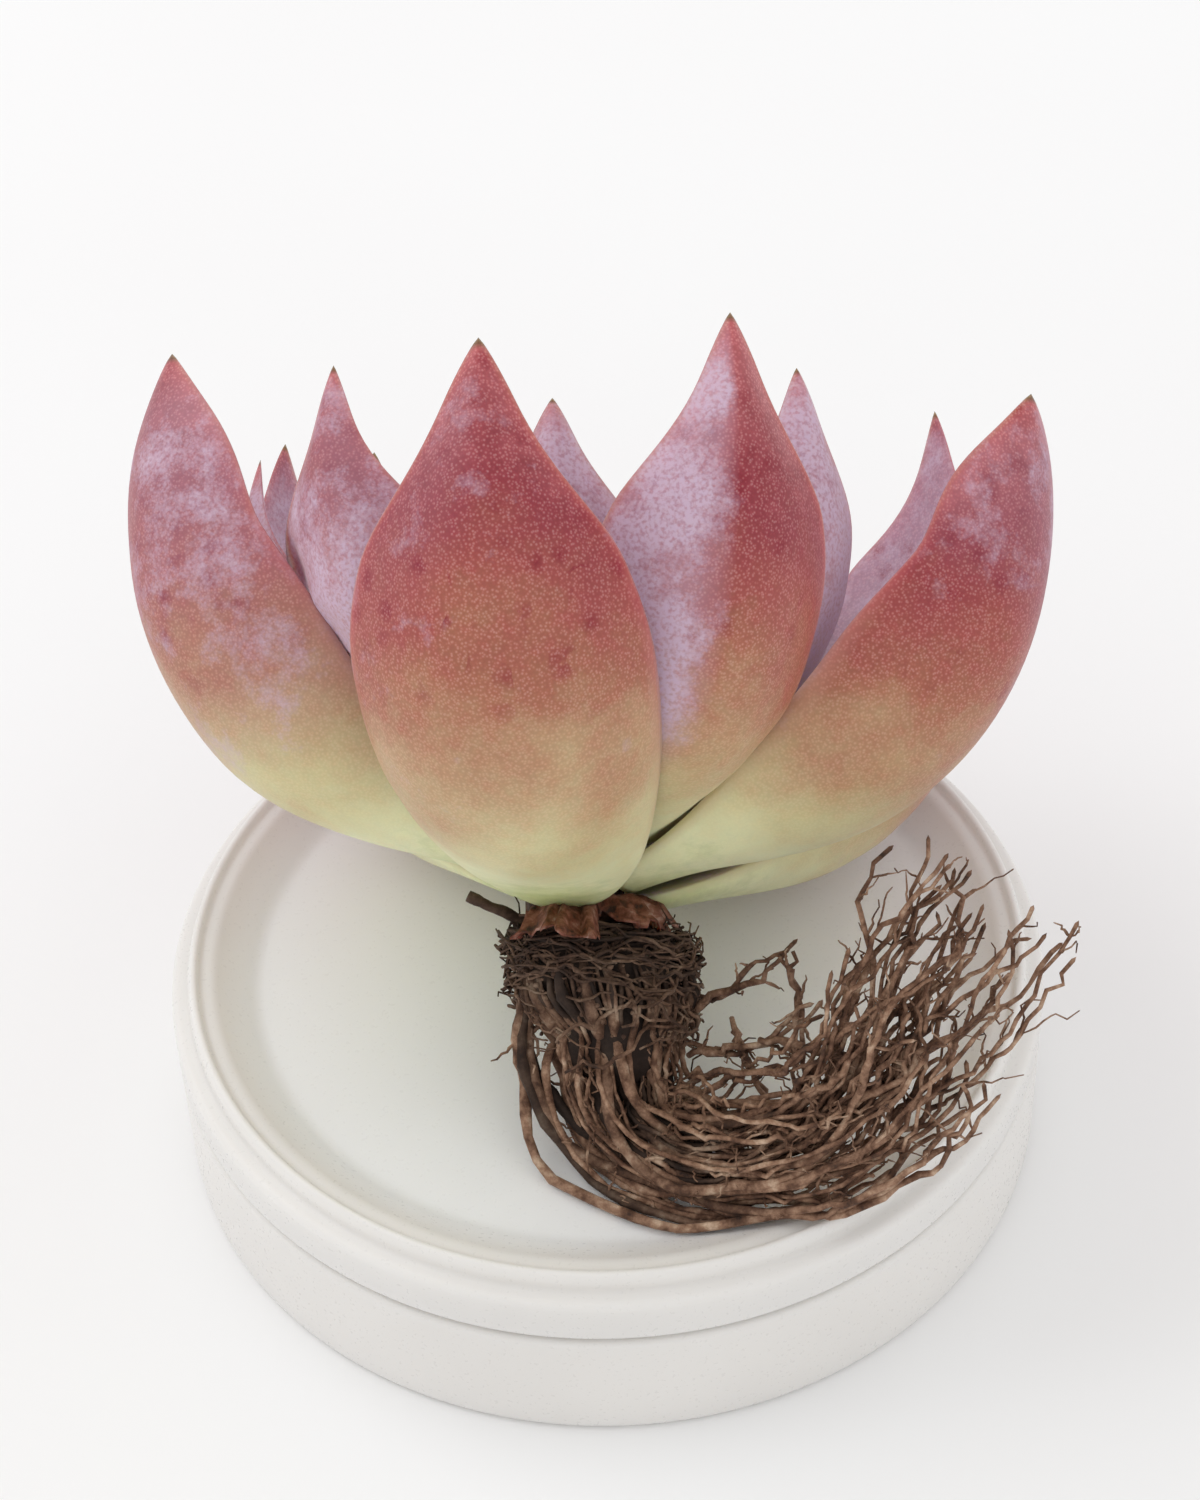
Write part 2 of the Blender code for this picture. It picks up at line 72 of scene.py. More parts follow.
LEAF_COUNT = 24
LEAF_RISE = 0.00046
TURN = math.radians(-137.5)
FIRST_TURN = math.radians(123.5)
LEAF_LENGTH = 0.0441
LEAF_HALF_WIDTH = 0.0084
LEAF_BELLY = 0.0037
LEAF_CROWN = 0.0009
LEAF_THINNEST = 0.0005
WIDEST = 0.55
FOOT_SHARE = 0.32
LEAF_RINGS = 11                 # of the plain form, which settles how the leaves press together
LEAF_SIDES = 10
PLAIN_KEEL = 1.35
FINE_RINGS = 56                 # of the finely modelled leaf
FINE_SIDES = 36
FINE_KEEL = 2.8
DRY_POINT = 0.992               # where the dry point starts, as a share of the length
SKIN_WAVE = 0.00025
SKIN_WAVE_EVERY = 1 / 110
WAIST = 0.30
PRESS_GAP = 0.00045
PRESS_STEP = 0.0001
PRESS_LIMIT = 0.006
PRESS_ROUNDS = 30
# Leaves off the even spiral, by number: degrees of turn, of lean at the foot and at the tip, and
# of twist, then the share of length
ODD_LEAVES = {
    1: (3.0, -2.0, -1.0, 0.0, 0.975),
    2: (0.0, 3.5, 2.0, 0.0, 1.000),
    3: (-3.5, 2.0, -9.0, -16.0, 0.960),
    4: (0.0, 4.0, 2.0, 12.0, 1.000),
    5: (0.0, 2.0, 1.0, 0.0, 1.000),
    6: (0.5, 1.5, 1.0, 0.0, 1.020),
    7: (-6.0, 3.5, 2.0, 0.0, 0.975),
    8: (-2.0, 0.5, 0.0, 20.0, 1.035),
    9: (-3.5, -1.5, -1.0, 0.0, 1.010),
    11: (-5.5, 3.5, 2.0, -14.0, 1.000),
    12: (-1.0, -6.0, -3.0, 0.0, 0.975),
    14: (-4.0, -0.5, 0.0, 0.0, 0.990),
}
# How thick the wax powder lies on a leaf's outer face, 0 to 1: overall, more towards one margin,
# and more towards the tip
POWDER = {
    0: (0.35, 0.00, 0.20), 1: (0.10, -0.06, 0.12), 2: (0.35, 0.00, 0.20), 3: (0.14, 0.08, 0.28),
    4: (0.27, 0.06, 0.18), 5: (0.45, 0.00, 0.20), 6: (0.15, -0.62, -0.06), 8: (0.76, 0.00, -0.05),
    9: (0.92, 0.06, -0.50), 11: (0.92, 0.00, -0.15),
}
# How far a leaf draws in below its point, as a share of its width there, where it isn't WAIST
WAISTS = {3: -0.40, 4: -0.35, 6: 0.34, 8: 0.38, 9: 0.42, 11: 0.36}
# How much further down the sun has turned a leaf red, as a share of its length
SUNLIT = {3: 0.03, 6: 0.06, 4: -0.03}

CROWN_LEVELS = (
    (-0.0017, 0.0005, 0.0040),
    (-0.0025, 0.0011, 0.0054),
    (-0.0042, 0.0015, 0.0058),
    (-0.0062, 0.0019, 0.0053),
    (-0.0082, 0.0023, 0.0046),
)
CROWN_FLATNESS = 0.86
CROWN_CLEARANCE = 0.0050
BUNDLE_START = (0.0034, 0.0024)
BUNDLE = (
    (Vector((0.0016, -0.0155, 0.0031)), 0.0034, 0.0019),
    (Vector((0.0060, -0.0187, 0.0033)), 0.0032, 0.0015),
    (Vector((0.0116, -0.0199, 0.0060)), 0.0033, 0.0014),
    (Vector((0.0148, -0.0192, 0.0101)), 0.0036, 0.0014),
    (Vector((0.0171, -0.0175, 0.0141)), 0.0040, 0.0015),
    (Vector((0.0200, -0.0154, 0.0177)), 0.0044, 0.0016),
    (Vector((0.0228, -0.0130, 0.0211)), 0.0048, 0.0017),
)
BUNDLE_FACES = Vector((0, -0.72, 0.69))
ROOTS_INSIDE = 0.0010           # how far from the tub's outermost edge the roots end
STRANDS = 112
GOLDEN_TURN = 2.39996           # radians from one strand to the next
THICK_STRAND = (0.00032, 0.00052)
THIN_STRAND = (0.00010, 0.00028)
STRAND_TIP = 0.00013
HAIR = (0.00007, 0.00014)
HAIR_TIP = 0.00004
WRAPS = 150
WRAP = (0.00006, 0.00016)
WRAP_TIP = 0.00005
CRUMBS = 420
CRUMB = (0.00006, 0.00020)
SIDE_ROOTS = (
    (Vector((0.0050, -0.0104, 0.0072)), Vector((0.0066, -0.0108, 0.0084)),
     Vector((0.0087, -0.0116, 0.0112)), Vector((0.0106, -0.0119, 0.0136))),
    (Vector((0.0046, -0.0130, 0.0058)), Vector((0.0063, -0.0134, 0.0066)),
     Vector((0.0090, -0.0142, 0.0085)), Vector((0.0122, -0.0146, 0.0118))),
)
# Thin roots between the side roots and the bundle, with heights over the disc
CROSSING_ROOTS = (
    (Vector((0.0105, -0.0119, 0.0136)), Vector((0.0108, -0.0145, 0.0104)),
     Vector((0.0106, -0.0180, 0.0060))),
    (Vector((0.0070, -0.0120, 0.0070)), Vector((0.0082, -0.0150, 0.0060)),
     Vector((0.0096, -0.0184, 0.0045))),
    (Vector((0.0090, -0.0142, 0.0085)), Vector((0.0120, -0.0160, 0.0090)),
     Vector((0.0150, -0.0180, 0.0100))),
)

FLAKES = ((-16, 36, 0.0066, -0.0004), (46, 40, 0.0060, 0.0002), (-150, 30, 0.0050, -0.0010))
STALK_FROM = Vector((-0.0037, -0.0004, -0.0010))
STALK_TO = Vector((-0.0064, -0.0008, 0.0003))
STALK_RADIUS = 0.00035

FLOOR_HALF_SIZE = 6
SKY_STRENGTH = 0.93
LAMP_SIZE = 0.9
LAMP_POWER = 2.6
LAMP_PLACE = (-0.70, 0.30, 0.85)
CAMERA_LENS = 79.2
CAMERA_PLACE = (0.00014, -0.1415, 0.1662)
CAMERA_DOWN = math.radians(43.9)
CAMERA_ROLL = math.radians(2.4)


# ---------------------------------------------------------------- materials
def colour(text):
    """A linear colour from an sRGB hex value."""
    parts = [int(text[i:i + 2], 16) / 255 for i in (1, 3, 5)]
    return (*[p / 12.92 if p <= 0.04045 else ((p + 0.055) / 1.055) ** 2.4 for p in parts], 1)


def every(millimetres):
    """The scale at which a pattern repeats about once in so many millimetres."""
    return 1000 / millimetres


def node(tree, kind, inputs=None, stops=None, **settings):
    """Adds a node, sets it up and returns its outputs.

    An input that is a socket is linked and any other is set. Stops are a ramp's positions and
    colours.
    """
    made = tree.nodes.new("ShaderNode" + kind)
    for name, value in settings.items():
        setattr(made, name, value)
    for name, value in (inputs or {}).items():
        if isinstance(value, bpy.types.NodeSocket):
            tree.links.new(value, made.inputs[name])
        else:
            made.inputs[name].default_value = value
    for number, (position, text) in enumerate(stops or []):
        elements = made.color_ramp.elements
        element = elements[number] if number < 2 else elements.new(position)
        element.position = position
        element.color = colour(text)
    return made.outputs


def new_material(name, roughness, ior):
    """A material, its node tree and its Principled shader."""
    made = bpy.data.materials.new(name)
    made.use_nodes = True
    shader = made.node_tree.nodes["Principled BSDF"]
    shader.inputs["Roughness"].default_value = roughness
    shader.inputs["IOR"].default_value = ior
    return made, made.node_tree, shader


def living_leaf():
    """Echeveria leaf: thick green flesh under a waxy skin that the sun has turned red at the tip.

    The skin's cells carry a painted glint and painted shade, a fine sparkling grain, a lilac-white
    powder of wax lies where nothing has rubbed it off, and the margins and the dry point at the tip
    have colours of their own.
    """
    made, tree, shader = new_material("living_leaf", 0.45, 1.42)
    along, across, inner, powdered, sunlit, seed = (
        node(tree, "Attribute", attribute_name=name)["Fac"]
        for name in ("along", "across", "inner", "powder", "sunlit", "seed"))
    place = node(tree, "TexCoord")["Object"]
    apart = node(tree, "CombineXYZ", {"X": seed, "Y": seed, "Z": seed})[0]
    at = node(tree, "VectorMath", {0: place, 1: apart}, operation="ADD")[0]

    # the bands of colour come further down on a sunlit leaf and along the margins, and clouds
    # 6 mm and flecks 1.2 mm across shift them up and down
    cloud = node(tree, "TexNoise", {"Vector": at, "Scale": every(6), "Detail": 3})["Fac"]
    shift = node(tree, "MapRange", {"Value": cloud, "From Min": 0.3, "From Max": 0.7,
                                    "To Min": -0.06, "To Max": 0.06})[0]
    edge = node(tree, "Math", {0: across, 1: across}, operation="MULTIPLY")[0]
    edge = node(tree, "Math", {0: edge, 1: 0.09, 2: sunlit}, operation="MULTIPLY_ADD")[0]
    shift = node(tree, "Math", {0: shift, 1: edge}, operation="ADD")[0]
    mottle = node(tree, "TexNoise", {"Vector": at, "Scale": every(1.2), "Detail": 5,
                                     "Roughness": 0.6})["Fac"]
    fleck = node(tree, "MapRange", {"Value": mottle, "From Min": 0.3, "From Max": 0.7,
                                    "To Min": -0.035, "To Max": 0.035})[0]
    shift = node(tree, "Math", {0: shift, 1: fleck}, operation="ADD")[0]
    height = node(tree, "Math", {0: along, 1: shift}, operation="ADD")[0]
    outer_face = node(tree, "ValToRGB", {"Fac": height}, [
        (0.00, "#c3d089"), (1.00, "#b25c62"), (0.20, "#e3e3b6"), (0.33, "#d1c697"),
        (0.48, "#be9973"), (0.60, "#ae6d54"), (0.70, "#a8524b"), (0.84, "#97333f")])["Color"]
    inner_face = node(tree, "ValToRGB", {"Fac": height}, [
        (0.00, "#a3ad55"), (1.00, "#a4586a"), (0.26, "#b3b877"), (0.45, "#b3aa94"),
        (0.62, "#b595a2"), (0.80, "#b58296"), (0.92, "#ae6c80")])["Color"]
    skin = node(tree, "Mix", {"Factor": inner, "A": outer_face, "B": inner_face},
                data_type="RGBA")["Result"]

    # the flecks are a little darker too
    depth = node(tree, "MapRange", {"Value": mottle, "From Min": 0.30, "From Max": 0.70,
                                    "To Min": 0.93, "To Max": 1.07})[0]
    skin = node(tree, "VectorMath", {0: skin, "Scale": depth}, operation="SCALE")[0]

    # dark red spots 0.4 to 0.8 mm across, in loose clusters on the upper half
    ragged = node(tree, "TexNoise", {"Vector": at, "Scale": every(0.5), "Detail": 2})["Color"]
    ragged = node(tree, "VectorMath", {0: ragged, 1: (0.0008, 0.0008, 0.0008), 2: at},
                  operation="MULTIPLY_ADD")[0]
    spot = node(tree, "TexVoronoi", {"Vector": ragged, "Scale": every(1.5)})
    size = node(tree, "MapRange", {"Value": spot["Distance"], "From Min": 0.10, "From Max": 0.55,
                                   "To Min": 0.95, "To Max": 0.0})[0]
    chance = node(tree, "SeparateColor", {"Color": spot["Color"]})["Red"]
    crowd = node(tree, "TexNoise", {"Vector": at, "Scale": every(7), "Detail": 1})["Fac"]
    chance = node(tree, "Math", {0: chance, 1: crowd}, operation="MULTIPLY")[0]
    chosen = node(tree, "Math", {0: chance, 1: 0.30}, operation="GREATER_THAN")[0]
    upper = node(tree, "MapRange", {"Value": along, "From Min": 0.50, "From Max": 0.68})[0]
    spots = node(tree, "Math", {0: size, 1: chosen}, operation="MULTIPLY")[0]
    spots = node(tree, "Math", {0: spots, 1: upper}, operation="MULTIPLY")[0]
    skin = node(tree, "Mix", {"Factor": spots, "A": skin, "B": colour("#8e152c")},
                data_type="RGBA")["Result"]

    # painted light on the skin cells: a painted glint, pale in the middle of each cell, and painted
    # shade between the cells, that show on the red part of a leaf; the cells are 0.15 mm across,
    # drawn at 0.18 mm so that they show
    grain = node(tree, "TexVoronoi", {"Vector": at, "Scale": every(0.18)})["Distance"]
    reddened = node(tree, "MapRange", {"Value": height, "From Min": 0.25, "From Max": 0.65,
                                       "To Min": 0.15, "To Max": 1.0})[0]
    # painted shade: darker towards the edges of each cell, a little lighter in its middle
    painted_cell_shading = node(tree, "MapRange", {"Value": grain, "From Min": 0.25, "From Max": 0.75,
                                   "To Min": 0.06, "To Max": -0.14})[0]
    painted_cell_shading = node(tree, "Math", {0: painted_cell_shading, 1: reddened, 2: 1.0}, operation="MULTIPLY_ADD")[0]
    skin = node(tree, "VectorMath", {0: skin, "Scale": painted_cell_shading}, operation="SCALE")[0]
    glint = node(tree, "MapRange", {"Value": grain, "From Min": 0.05, "From Max": 0.50,
                                    "To Min": 0.22, "To Max": 0.0})[0]
    glint = node(tree, "Math", {0: glint, 1: reddened}, operation="MULTIPLY")[0]
    skin = node(tree, "Mix", {"Factor": glint, "A": skin, "B": colour("#ead0cc")},
                data_type="RGBA")["Result"]

    # wax powder: a thin veil, and thicker patches with ragged, speckled edges
    patch = node(tree, "TexNoise", {"Vector": at, "Scale": every(3.5), "Detail": 10,
                                    "Roughness": 0.70})["Fac"]
    patch = node(tree, "Math", {0: patch, 1: 1.7}, operation="MULTIPLY")[0]
    cover = node(tree, "Math", {0: patch, 1: powdered}, operation="ADD")[0]
    patches = node(tree, "MapRange", {"Value": cover, "From Min": 1.12, "From Max": 1.60,
                                      "To Min": 0.0, "To Max": 0.95})[0]
    speckle = node(tree, "TexNoise", {"Vector": at, "Scale": every(0.24), "Detail": 4})["Fac"]
    speckle = node(tree, "MapRange", {"Value": speckle, "From Min": 0.34, "From Max": 0.56,
                                      "To Min": 0.55, "To Max": 1.0})[0]
    patches = node(tree, "Math", {0: patches, 1: speckle}, operation="MULTIPLY")[0]
    veil = node(tree, "MapRange", {"Value": powdered, "From Min": 0.2, "From Max": 1.0,
                                   "To Min": 0.0, "To Max": 0.62})[0]
    powder = node(tree, "Math", {0: patches, 1: veil}, operation="MAXIMUM")[0]
    skin = node(tree, "Mix", {"Factor": powder, "A": skin, "B": colour("#ccb4c8")},
                data_type="RGBA")["Result"]

    # margins, pink above and pale below
    rim_colour = node(tree, "ValToRGB", {"Fac": along}, [
        (0.0, "#cfcca4"), (1.0, "#a34655"), (0.4, "#cfa48c"), (0.65, "#b4585f")])["Color"]
    side = node(tree, "Math", {0: across}, operation="ABSOLUTE")[0]
    rim = node(tree, "MapRange", {"Value": side, "From Min": 0.93, "From Max": 1.0,
                                  "To Min": 0.0, "To Max": 0.6})[0]
    skin = node(tree, "Mix", {"Factor": rim, "A": skin, "B": rim_colour},
                data_type="RGBA")["Result"]

    # the dry brown point
    point = node(tree, "MapRange", {"Value": along, "From Min": 0.984, "From Max": 0.992})[0]
    skin = node(tree, "Mix", {"Factor": point, "A": skin, "B": colour("#5f4034")},
                data_type="RGBA")["Result"]
    tree.links.new(skin, shader.inputs["Base Color"])

    # powder is dull, bare skin has a soft shine
    dull = node(tree, "MapRange", {"Value": powder, "To Min": 0.40, "To Max": 0.70})[0]
    tree.links.new(dull, shader.inputs["Roughness"])
    cells = node(tree, "Bump", {"Height": grain, "Strength": 0.25, "Distance": 0.00004})[0]
    relief = node(tree, "Bump", {"Height": mottle, "Normal": cells, "Strength": 0.25,
                                 "Distance": 0.00007})[0]
    tree.links.new(relief, shader.inputs["Normal"])
    shader.inputs["Subsurface Weight"].default_value = 0.30
    shader.inputs["Subsurface Radius"].default_value = (1.0, 0.55, 0.3)
    shader.inputs["Subsurface Scale"].default_value = 0.0020
    return made


def dry_root():
    """Dry root bark: brown and fibrous with paler worn ridges, darkened to nearly black by painted
    shade deep among the roots and by the soil of the crumbs.
    """
    made, tree, shader = new_material("dry_root", 0.85, 1.45)
    place = node(tree, "TexCoord")["Object"]
    deep = node(tree, "Attribute", attribute_name="deep")["Fac"]
    shade = node(tree, "TexNoise", {"Vector": place, "Scale": every(1.6), "Detail": 7,
                                    "Roughness": 0.68})["Fac"]
    bark = node(tree, "ValToRGB", {"Fac": shade}, [
        (0.32, "#2e1d14"), (0.70, "#ceb39a"), (0.44, "#654634"), (0.56, "#98765f")])["Color"]
    # painted shade: deep darkens the bark towards nearly black where roots lie in shade; on the
    # crumbs it is the soil's own darker colour
    bark = node(tree, "Mix", {"Factor": deep, "A": bark, "B": colour("#1d120c")},
                data_type="RGBA")["Result"]
    tree.links.new(bark, shader.inputs["Base Color"])
    fibres = node(tree, "TexNoise", {"Vector": place, "Scale": every(0.3), "Detail": 4})["Fac"]
    relief = node(tree, "Bump", {"Height": fibres, "Strength": 0.7, "Distance": 0.0001})[0]
    tree.links.new(relief, shader.inputs["Normal"])
    return made


def neck_bark():
    """Damp bark of the neck and stem, dark and finely cracked."""
    made, tree, shader = new_material("neck_bark", 0.70, 1.45)
    place = node(tree, "TexCoord")["Object"]
    shade = node(tree, "TexNoise", {"Vector": place, "Scale": every(0.8), "Detail": 4})["Fac"]
    bark = node(tree, "ValToRGB", {"Fac": shade}, [
        (0.30, "#1c110b"), (0.75, "#6a4630"), (0.55, "#3c2518")])["Color"]
    tree.links.new(bark, shader.inputs["Base Color"])
    relief = node(tree, "Bump", {"Height": shade, "Strength": 0.6, "Distance": 0.0002})[0]
    tree.links.new(relief, shader.inputs["Normal"])
    return made


def papery_leaf():
    """Dried leaf base: thin and papery, pinkish brown with darker veins."""
    made, tree, shader = new_material("papery_leaf", 0.62, 1.45)
    place = node(tree, "TexCoord")["Object"]
    shade = node(tree, "TexNoise", {"Vector": place, "Scale": every(1.1), "Detail": 7,
                                    "Roughness": 0.65})["Fac"]
    skin = node(tree, "ValToRGB", {"Fac": shade}, [
        (0.36, "#2a1610"), (0.68, "#b19389"), (0.47, "#683826"), (0.58, "#8c5c4d")])["Color"]
    tree.links.new(skin, shader.inputs["Base Color"])
    relief = node(tree, "Bump", {"Height": shade, "Strength": 0.6, "Distance": 0.00015})[0]
    tree.links.new(relief, shader.inputs["Normal"])
    shader.inputs["Subsurface Weight"].default_value = 0.1
    shader.inputs["Subsurface Scale"].default_value = 0.0005
    return made


def milky_polypropylene():
    """Moulded natural polypropylene: milky, with a satin surface, and with painted light on the
    disc.

    The disc is painted near-white, as light coming up through it from the tub, so it stays nearly
    as bright as the floor.
    """
    made, tree, shader = new_material("milky_polypropylene", 0.32, 1.49)
    place = node(tree, "TexCoord")["Object"]
    thin = node(tree, "Attribute", attribute_name="thin")["Fac"]
    cloud = node(tree, "TexNoise", {"Vector": place, "Scale": every(16), "Detail": 2})["Fac"]
    thick_milk = node(tree, "ValToRGB", {"Fac": cloud}, [
        (0.3, "#e2dfdb"), (0.7, "#e7e4e0")])["Color"]
    # painted light: a near-white copy of the milk for the disc
    painted_light_milk = node(tree, "ValToRGB", {"Fac": cloud}, [
        (0.3, "#fafaf9"), (0.7, "#fdfdfd")])["Color"]
    milk = node(tree, "Mix", {"Factor": thin, "A": thick_milk, "B": painted_light_milk},
                data_type="RGBA")["Result"]
    # a few specks of dry soil, 0.2 mm across
    speck = node(tree, "TexVoronoi", {"Vector": place, "Scale": every(4)})
    size = node(tree, "MapRange", {"Value": speck["Distance"], "From Min": 0.03, "From Max": 0.06,
                                   "To Min": 0.5, "To Max": 0.0})[0]
    chance = node(tree, "SeparateColor", {"Color": speck["Color"]})["Red"]
    chosen = node(tree, "Math", {0: chance, 1: 0.97}, operation="GREATER_THAN")[0]
    dust = node(tree, "Math", {0: size, 1: chosen}, operation="MULTIPLY")[0]
    milk = node(tree, "Mix", {"Factor": dust, "A": milk, "B": colour("#7a6858")},
                data_type="RGBA")["Result"]
    tree.links.new(milk, shader.inputs["Base Color"])
    satin = node(tree, "TexNoise", {"Vector": place, "Scale": every(0.25), "Detail": 2})["Fac"]
    shine = node(tree, "MapRange", {"Value": satin, "From Min": 0.3, "From Max": 0.7,
                                    "To Min": 0.26, "To Max": 0.38})[0]
    tree.links.new(shine, shader.inputs["Roughness"])
    relief = node(tree, "Bump", {"Height": satin, "Strength": 0.08, "Distance": 0.00003})[0]
    tree.links.new(relief, shader.inputs["Normal"])
    shader.inputs["Subsurface Weight"].default_value = 0.4
    shader.inputs["Subsurface Radius"].default_value = (1.0, 0.95, 0.88)
    shader.inputs["Subsurface Scale"].default_value = 0.003
    return made


def matt_board():
    """Matt white board that the object stands on."""
    made, tree, shader = new_material("matt_board", 0.9, 1.45)
    place = node(tree, "TexCoord")["Object"]
    cloud = node(tree, "TexNoise", {"Vector": place, "Scale": every(120), "Detail": 2})["Fac"]
    board = node(tree, "ValToRGB", {"Fac": cloud}, [(0.3, "#f3f2f2"), (0.7, "#f6f6f6")])["Color"]
    tree.links.new(board, shader.inputs["Base Color"])
    return made


# ---------------------------------------------------------------- general shapes
def mix(a, b, t):
    """The value a share t of the way from a to b."""
    return a + (b - a) * t


def ease(t):
    """A share from 0 to 1 that starts and ends gently."""
    t = min(max(t, 0.0), 1.0)
    return t * t * (3 - 2 * t)


def add(name, mesh, finish, stands_for, matrix=None):
    """Adds a piece that rides on the body, with its finish and the nodes it stands for."""
    if matrix is not None:
        mesh.transform(matrix)
    piece = bpy.data.objects.new(name, mesh)
    bpy.context.scene.collection.objects.link(piece)
    mesh.materials.append(finish)
    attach(piece, "root")
    if stands_for:
        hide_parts(*stands_for)
    return piece


def mark(mesh, **values):
    """Keeps a number for each point of a mesh under each name, for its finish to use."""
    for name, numbers in values.items():
        if isinstance(numbers, (int, float)):
            numbers = [numbers] * len(mesh.vertices)
        mesh.attributes.new(name, "FLOAT", "POINT").data.foreach_set("value", numbers)


def loft_into(bm, rings, end=None):
    """Adds a closed skin through rings, with its far end drawn to a point if one is given."""
    loops = [[bm.verts.new(p) for p in ring] for ring in rings]
    count = len(rings[0])
    for a, b in zip(loops, loops[1:]):
        for k in range(count):
            m = (k + 1) % count
            bm.faces.new((a[k], a[m], b[m], b[k]))
    bm.faces.new(loops[0][::-1])
    if end is None:
        bm.faces.new(loops[-1])
        return
    apex = bm.verts.new(end)
    for k in range(count):
        bm.faces.new((loops[-1][k], loops[-1][(k + 1) % count], apex))


def finished(bm, name):
    """A smooth mesh with outward faces from one being built."""
    bmesh.ops.recalc_face_normals(bm, faces=bm.faces)
    mesh = bpy.data.meshes.new(name)
    bm.to_mesh(mesh)
    bm.free()
    mesh.shade_smooth()
    return mesh


def loft(rings, end=None):
    """A closed mesh through rings of equal size."""
    bm = bmesh.new()
    loft_into(bm, rings, end)
    return finished(bm, "loft")


def circle(centre, across, deep, sides):
    """Corners of an oval around a centre, from its two half axes."""
    turns = [2 * math.pi * k / sides for k in range(sides)]
    return [centre + across * math.cos(t) + deep * math.sin(t) for t in turns]


def smooth_path(points, share):
    """A point of the smooth curve through control points, by its share of the way."""
    at = share * (len(points) - 1)
    i = min(int(at), len(points) - 2)
    t = at - i
    b, c = points[i], points[i + 1]
    a = points[i - 1] if i > 0 else b * 2 - c
    d = points[i + 2] if i + 2 < len(points) else c * 2 - b
    return (b * 2 + (c - a) * t + (a * 2 - b * 5 + c * 4 - d) * t ** 2
            + (b * 3 - a - c * 3 + d) * t ** 3) / 2


# ---------------------------------------------------------------- tub and lid
def rounded(outline, radius, steps=4):
    """An outline with its corners rounded as far as their sides allow."""
    done = [Vector(outline[0])]
    for before, corner, after in zip(outline, outline[1:], outline[2:]):
        here = Vector(corner)
        back, ahead = Vector(before) - here, Vector(after) - here
        reach = min(radius, back.length * 0.48, ahead.length * 0.48)
        a, b = here + back.normalized() * reach, here + ahead.normalized() * reach
        for k in range(steps + 1):
            t = k / steps
            done.append(a * (1 - t) ** 2 + here * 2 * t * (1 - t) + b * t ** 2)
    return done + [Vector(outline[-1])]


def make_turned(name, outline, radius, finish, node_name):
    """A moulded round piece, from an outline of (radius, height) points with rounded corners."""
    bm = bmesh.new()
    verts = [bm.verts.new((p.x, 0, p.y)) for p in rounded(outline, radius)]
    edges = [bm.edges.new(pair) for pair in zip(verts, verts[1:])]
    bmesh.ops.spin(bm, geom=verts + edges, cent=(0, 0, 0), axis=(0, 0, 1),
                   angle=2 * math.pi, steps=160, use_merge=True)
    bmesh.ops.remove_doubles(bm, verts=bm.verts, dist=1e-6)
    mesh = finished(bm, name)
    # thin marks the disc, where the finish paints light coming up from the tub
    mark(mesh, thin=[ease((SLOPE_TOP - math.hypot(*vertex.co.xy)) / DISC_SLOPE)
                     for vertex in mesh.vertices])
    return add(name, mesh, finish, [node_name])


def make_tub(finish):
    """The tub under the lid."""
    neck = TUB_RADIUS - LID_WALL - GAP
    inner = neck - TUB_WALL
    make_turned("tub_moulding", [
        (0, 0), (TUB_RADIUS - FOOT_ROUND * 0.5, 0), (TUB_RADIUS, FOOT_ROUND * 0.5),
        (TUB_RADIUS, TUB_SHOULDER), (neck, TUB_SHOULDER), (neck, TUB_MOUTH),
        (inner, TUB_MOUTH), (inner, TUB_FLOOR), (0, TUB_FLOOR)],
        0.0005, finish, "tub")


def make_lid(finish):
    """The lid: its ring has a fine bead round the outside and a shallow groove within it."""
    ledge = LID_TOP - LID_LEDGE_DROP
    ring = TUB_RADIUS - RING_SET_IN
    disc_edge = SLOPE_TOP - DISC_SLOPE
    inside = TUB_RADIUS - LID_WALL
    bead, groove = 0.0006, 0.0005
    make_turned("lid_moulding", [
        (0, DISC_HEIGHT), (disc_edge, DISC_HEIGHT), (SLOPE_TOP, LID_TOP - groove * 0.8),
        (ring - bead * 1.3, LID_TOP - groove), (ring - bead, LID_TOP), (ring - bead * 0.4, LID_TOP),
        (ring, LID_TOP - bead), (ring, ledge), (TUB_RADIUS, ledge - 0.0002),
        (TUB_RADIUS, TUB_SHOULDER + GAP), (inside, TUB_SHOULDER + GAP),
        (inside, TUB_MOUTH + GAP), (SLOPE_TOP, TUB_MOUTH + GAP),
        (disc_edge - LID_WALL, DISC_HEIGHT - LID_WALL), (0, DISC_HEIGHT - LID_WALL)],
        0.0005, finish, "lid")


def lid_height(point):
    """Height of the lid's top side under a point, and of the floor beyond its edge."""
    out = math.hypot(point.x, point.y)
    if out > TUB_RADIUS:
        return 0.0
    climb = min(max((out - SLOPE_TOP) / DISC_SLOPE + 1, 0.0), 1.0)
    return DISC_HEIGHT + DISC_DROP * climb


# ---------------------------------------------------------------- leaves
def stem_top():
    """Height of the stem's top."""
    return LEAF_RISE * LEAF_COUNT


def stem_radius(height):
    """The stem's radius at a height."""
    return mix(STEM_RADIUS, STEM_TIP_RADIUS, max(height, 0.0) / stem_top())


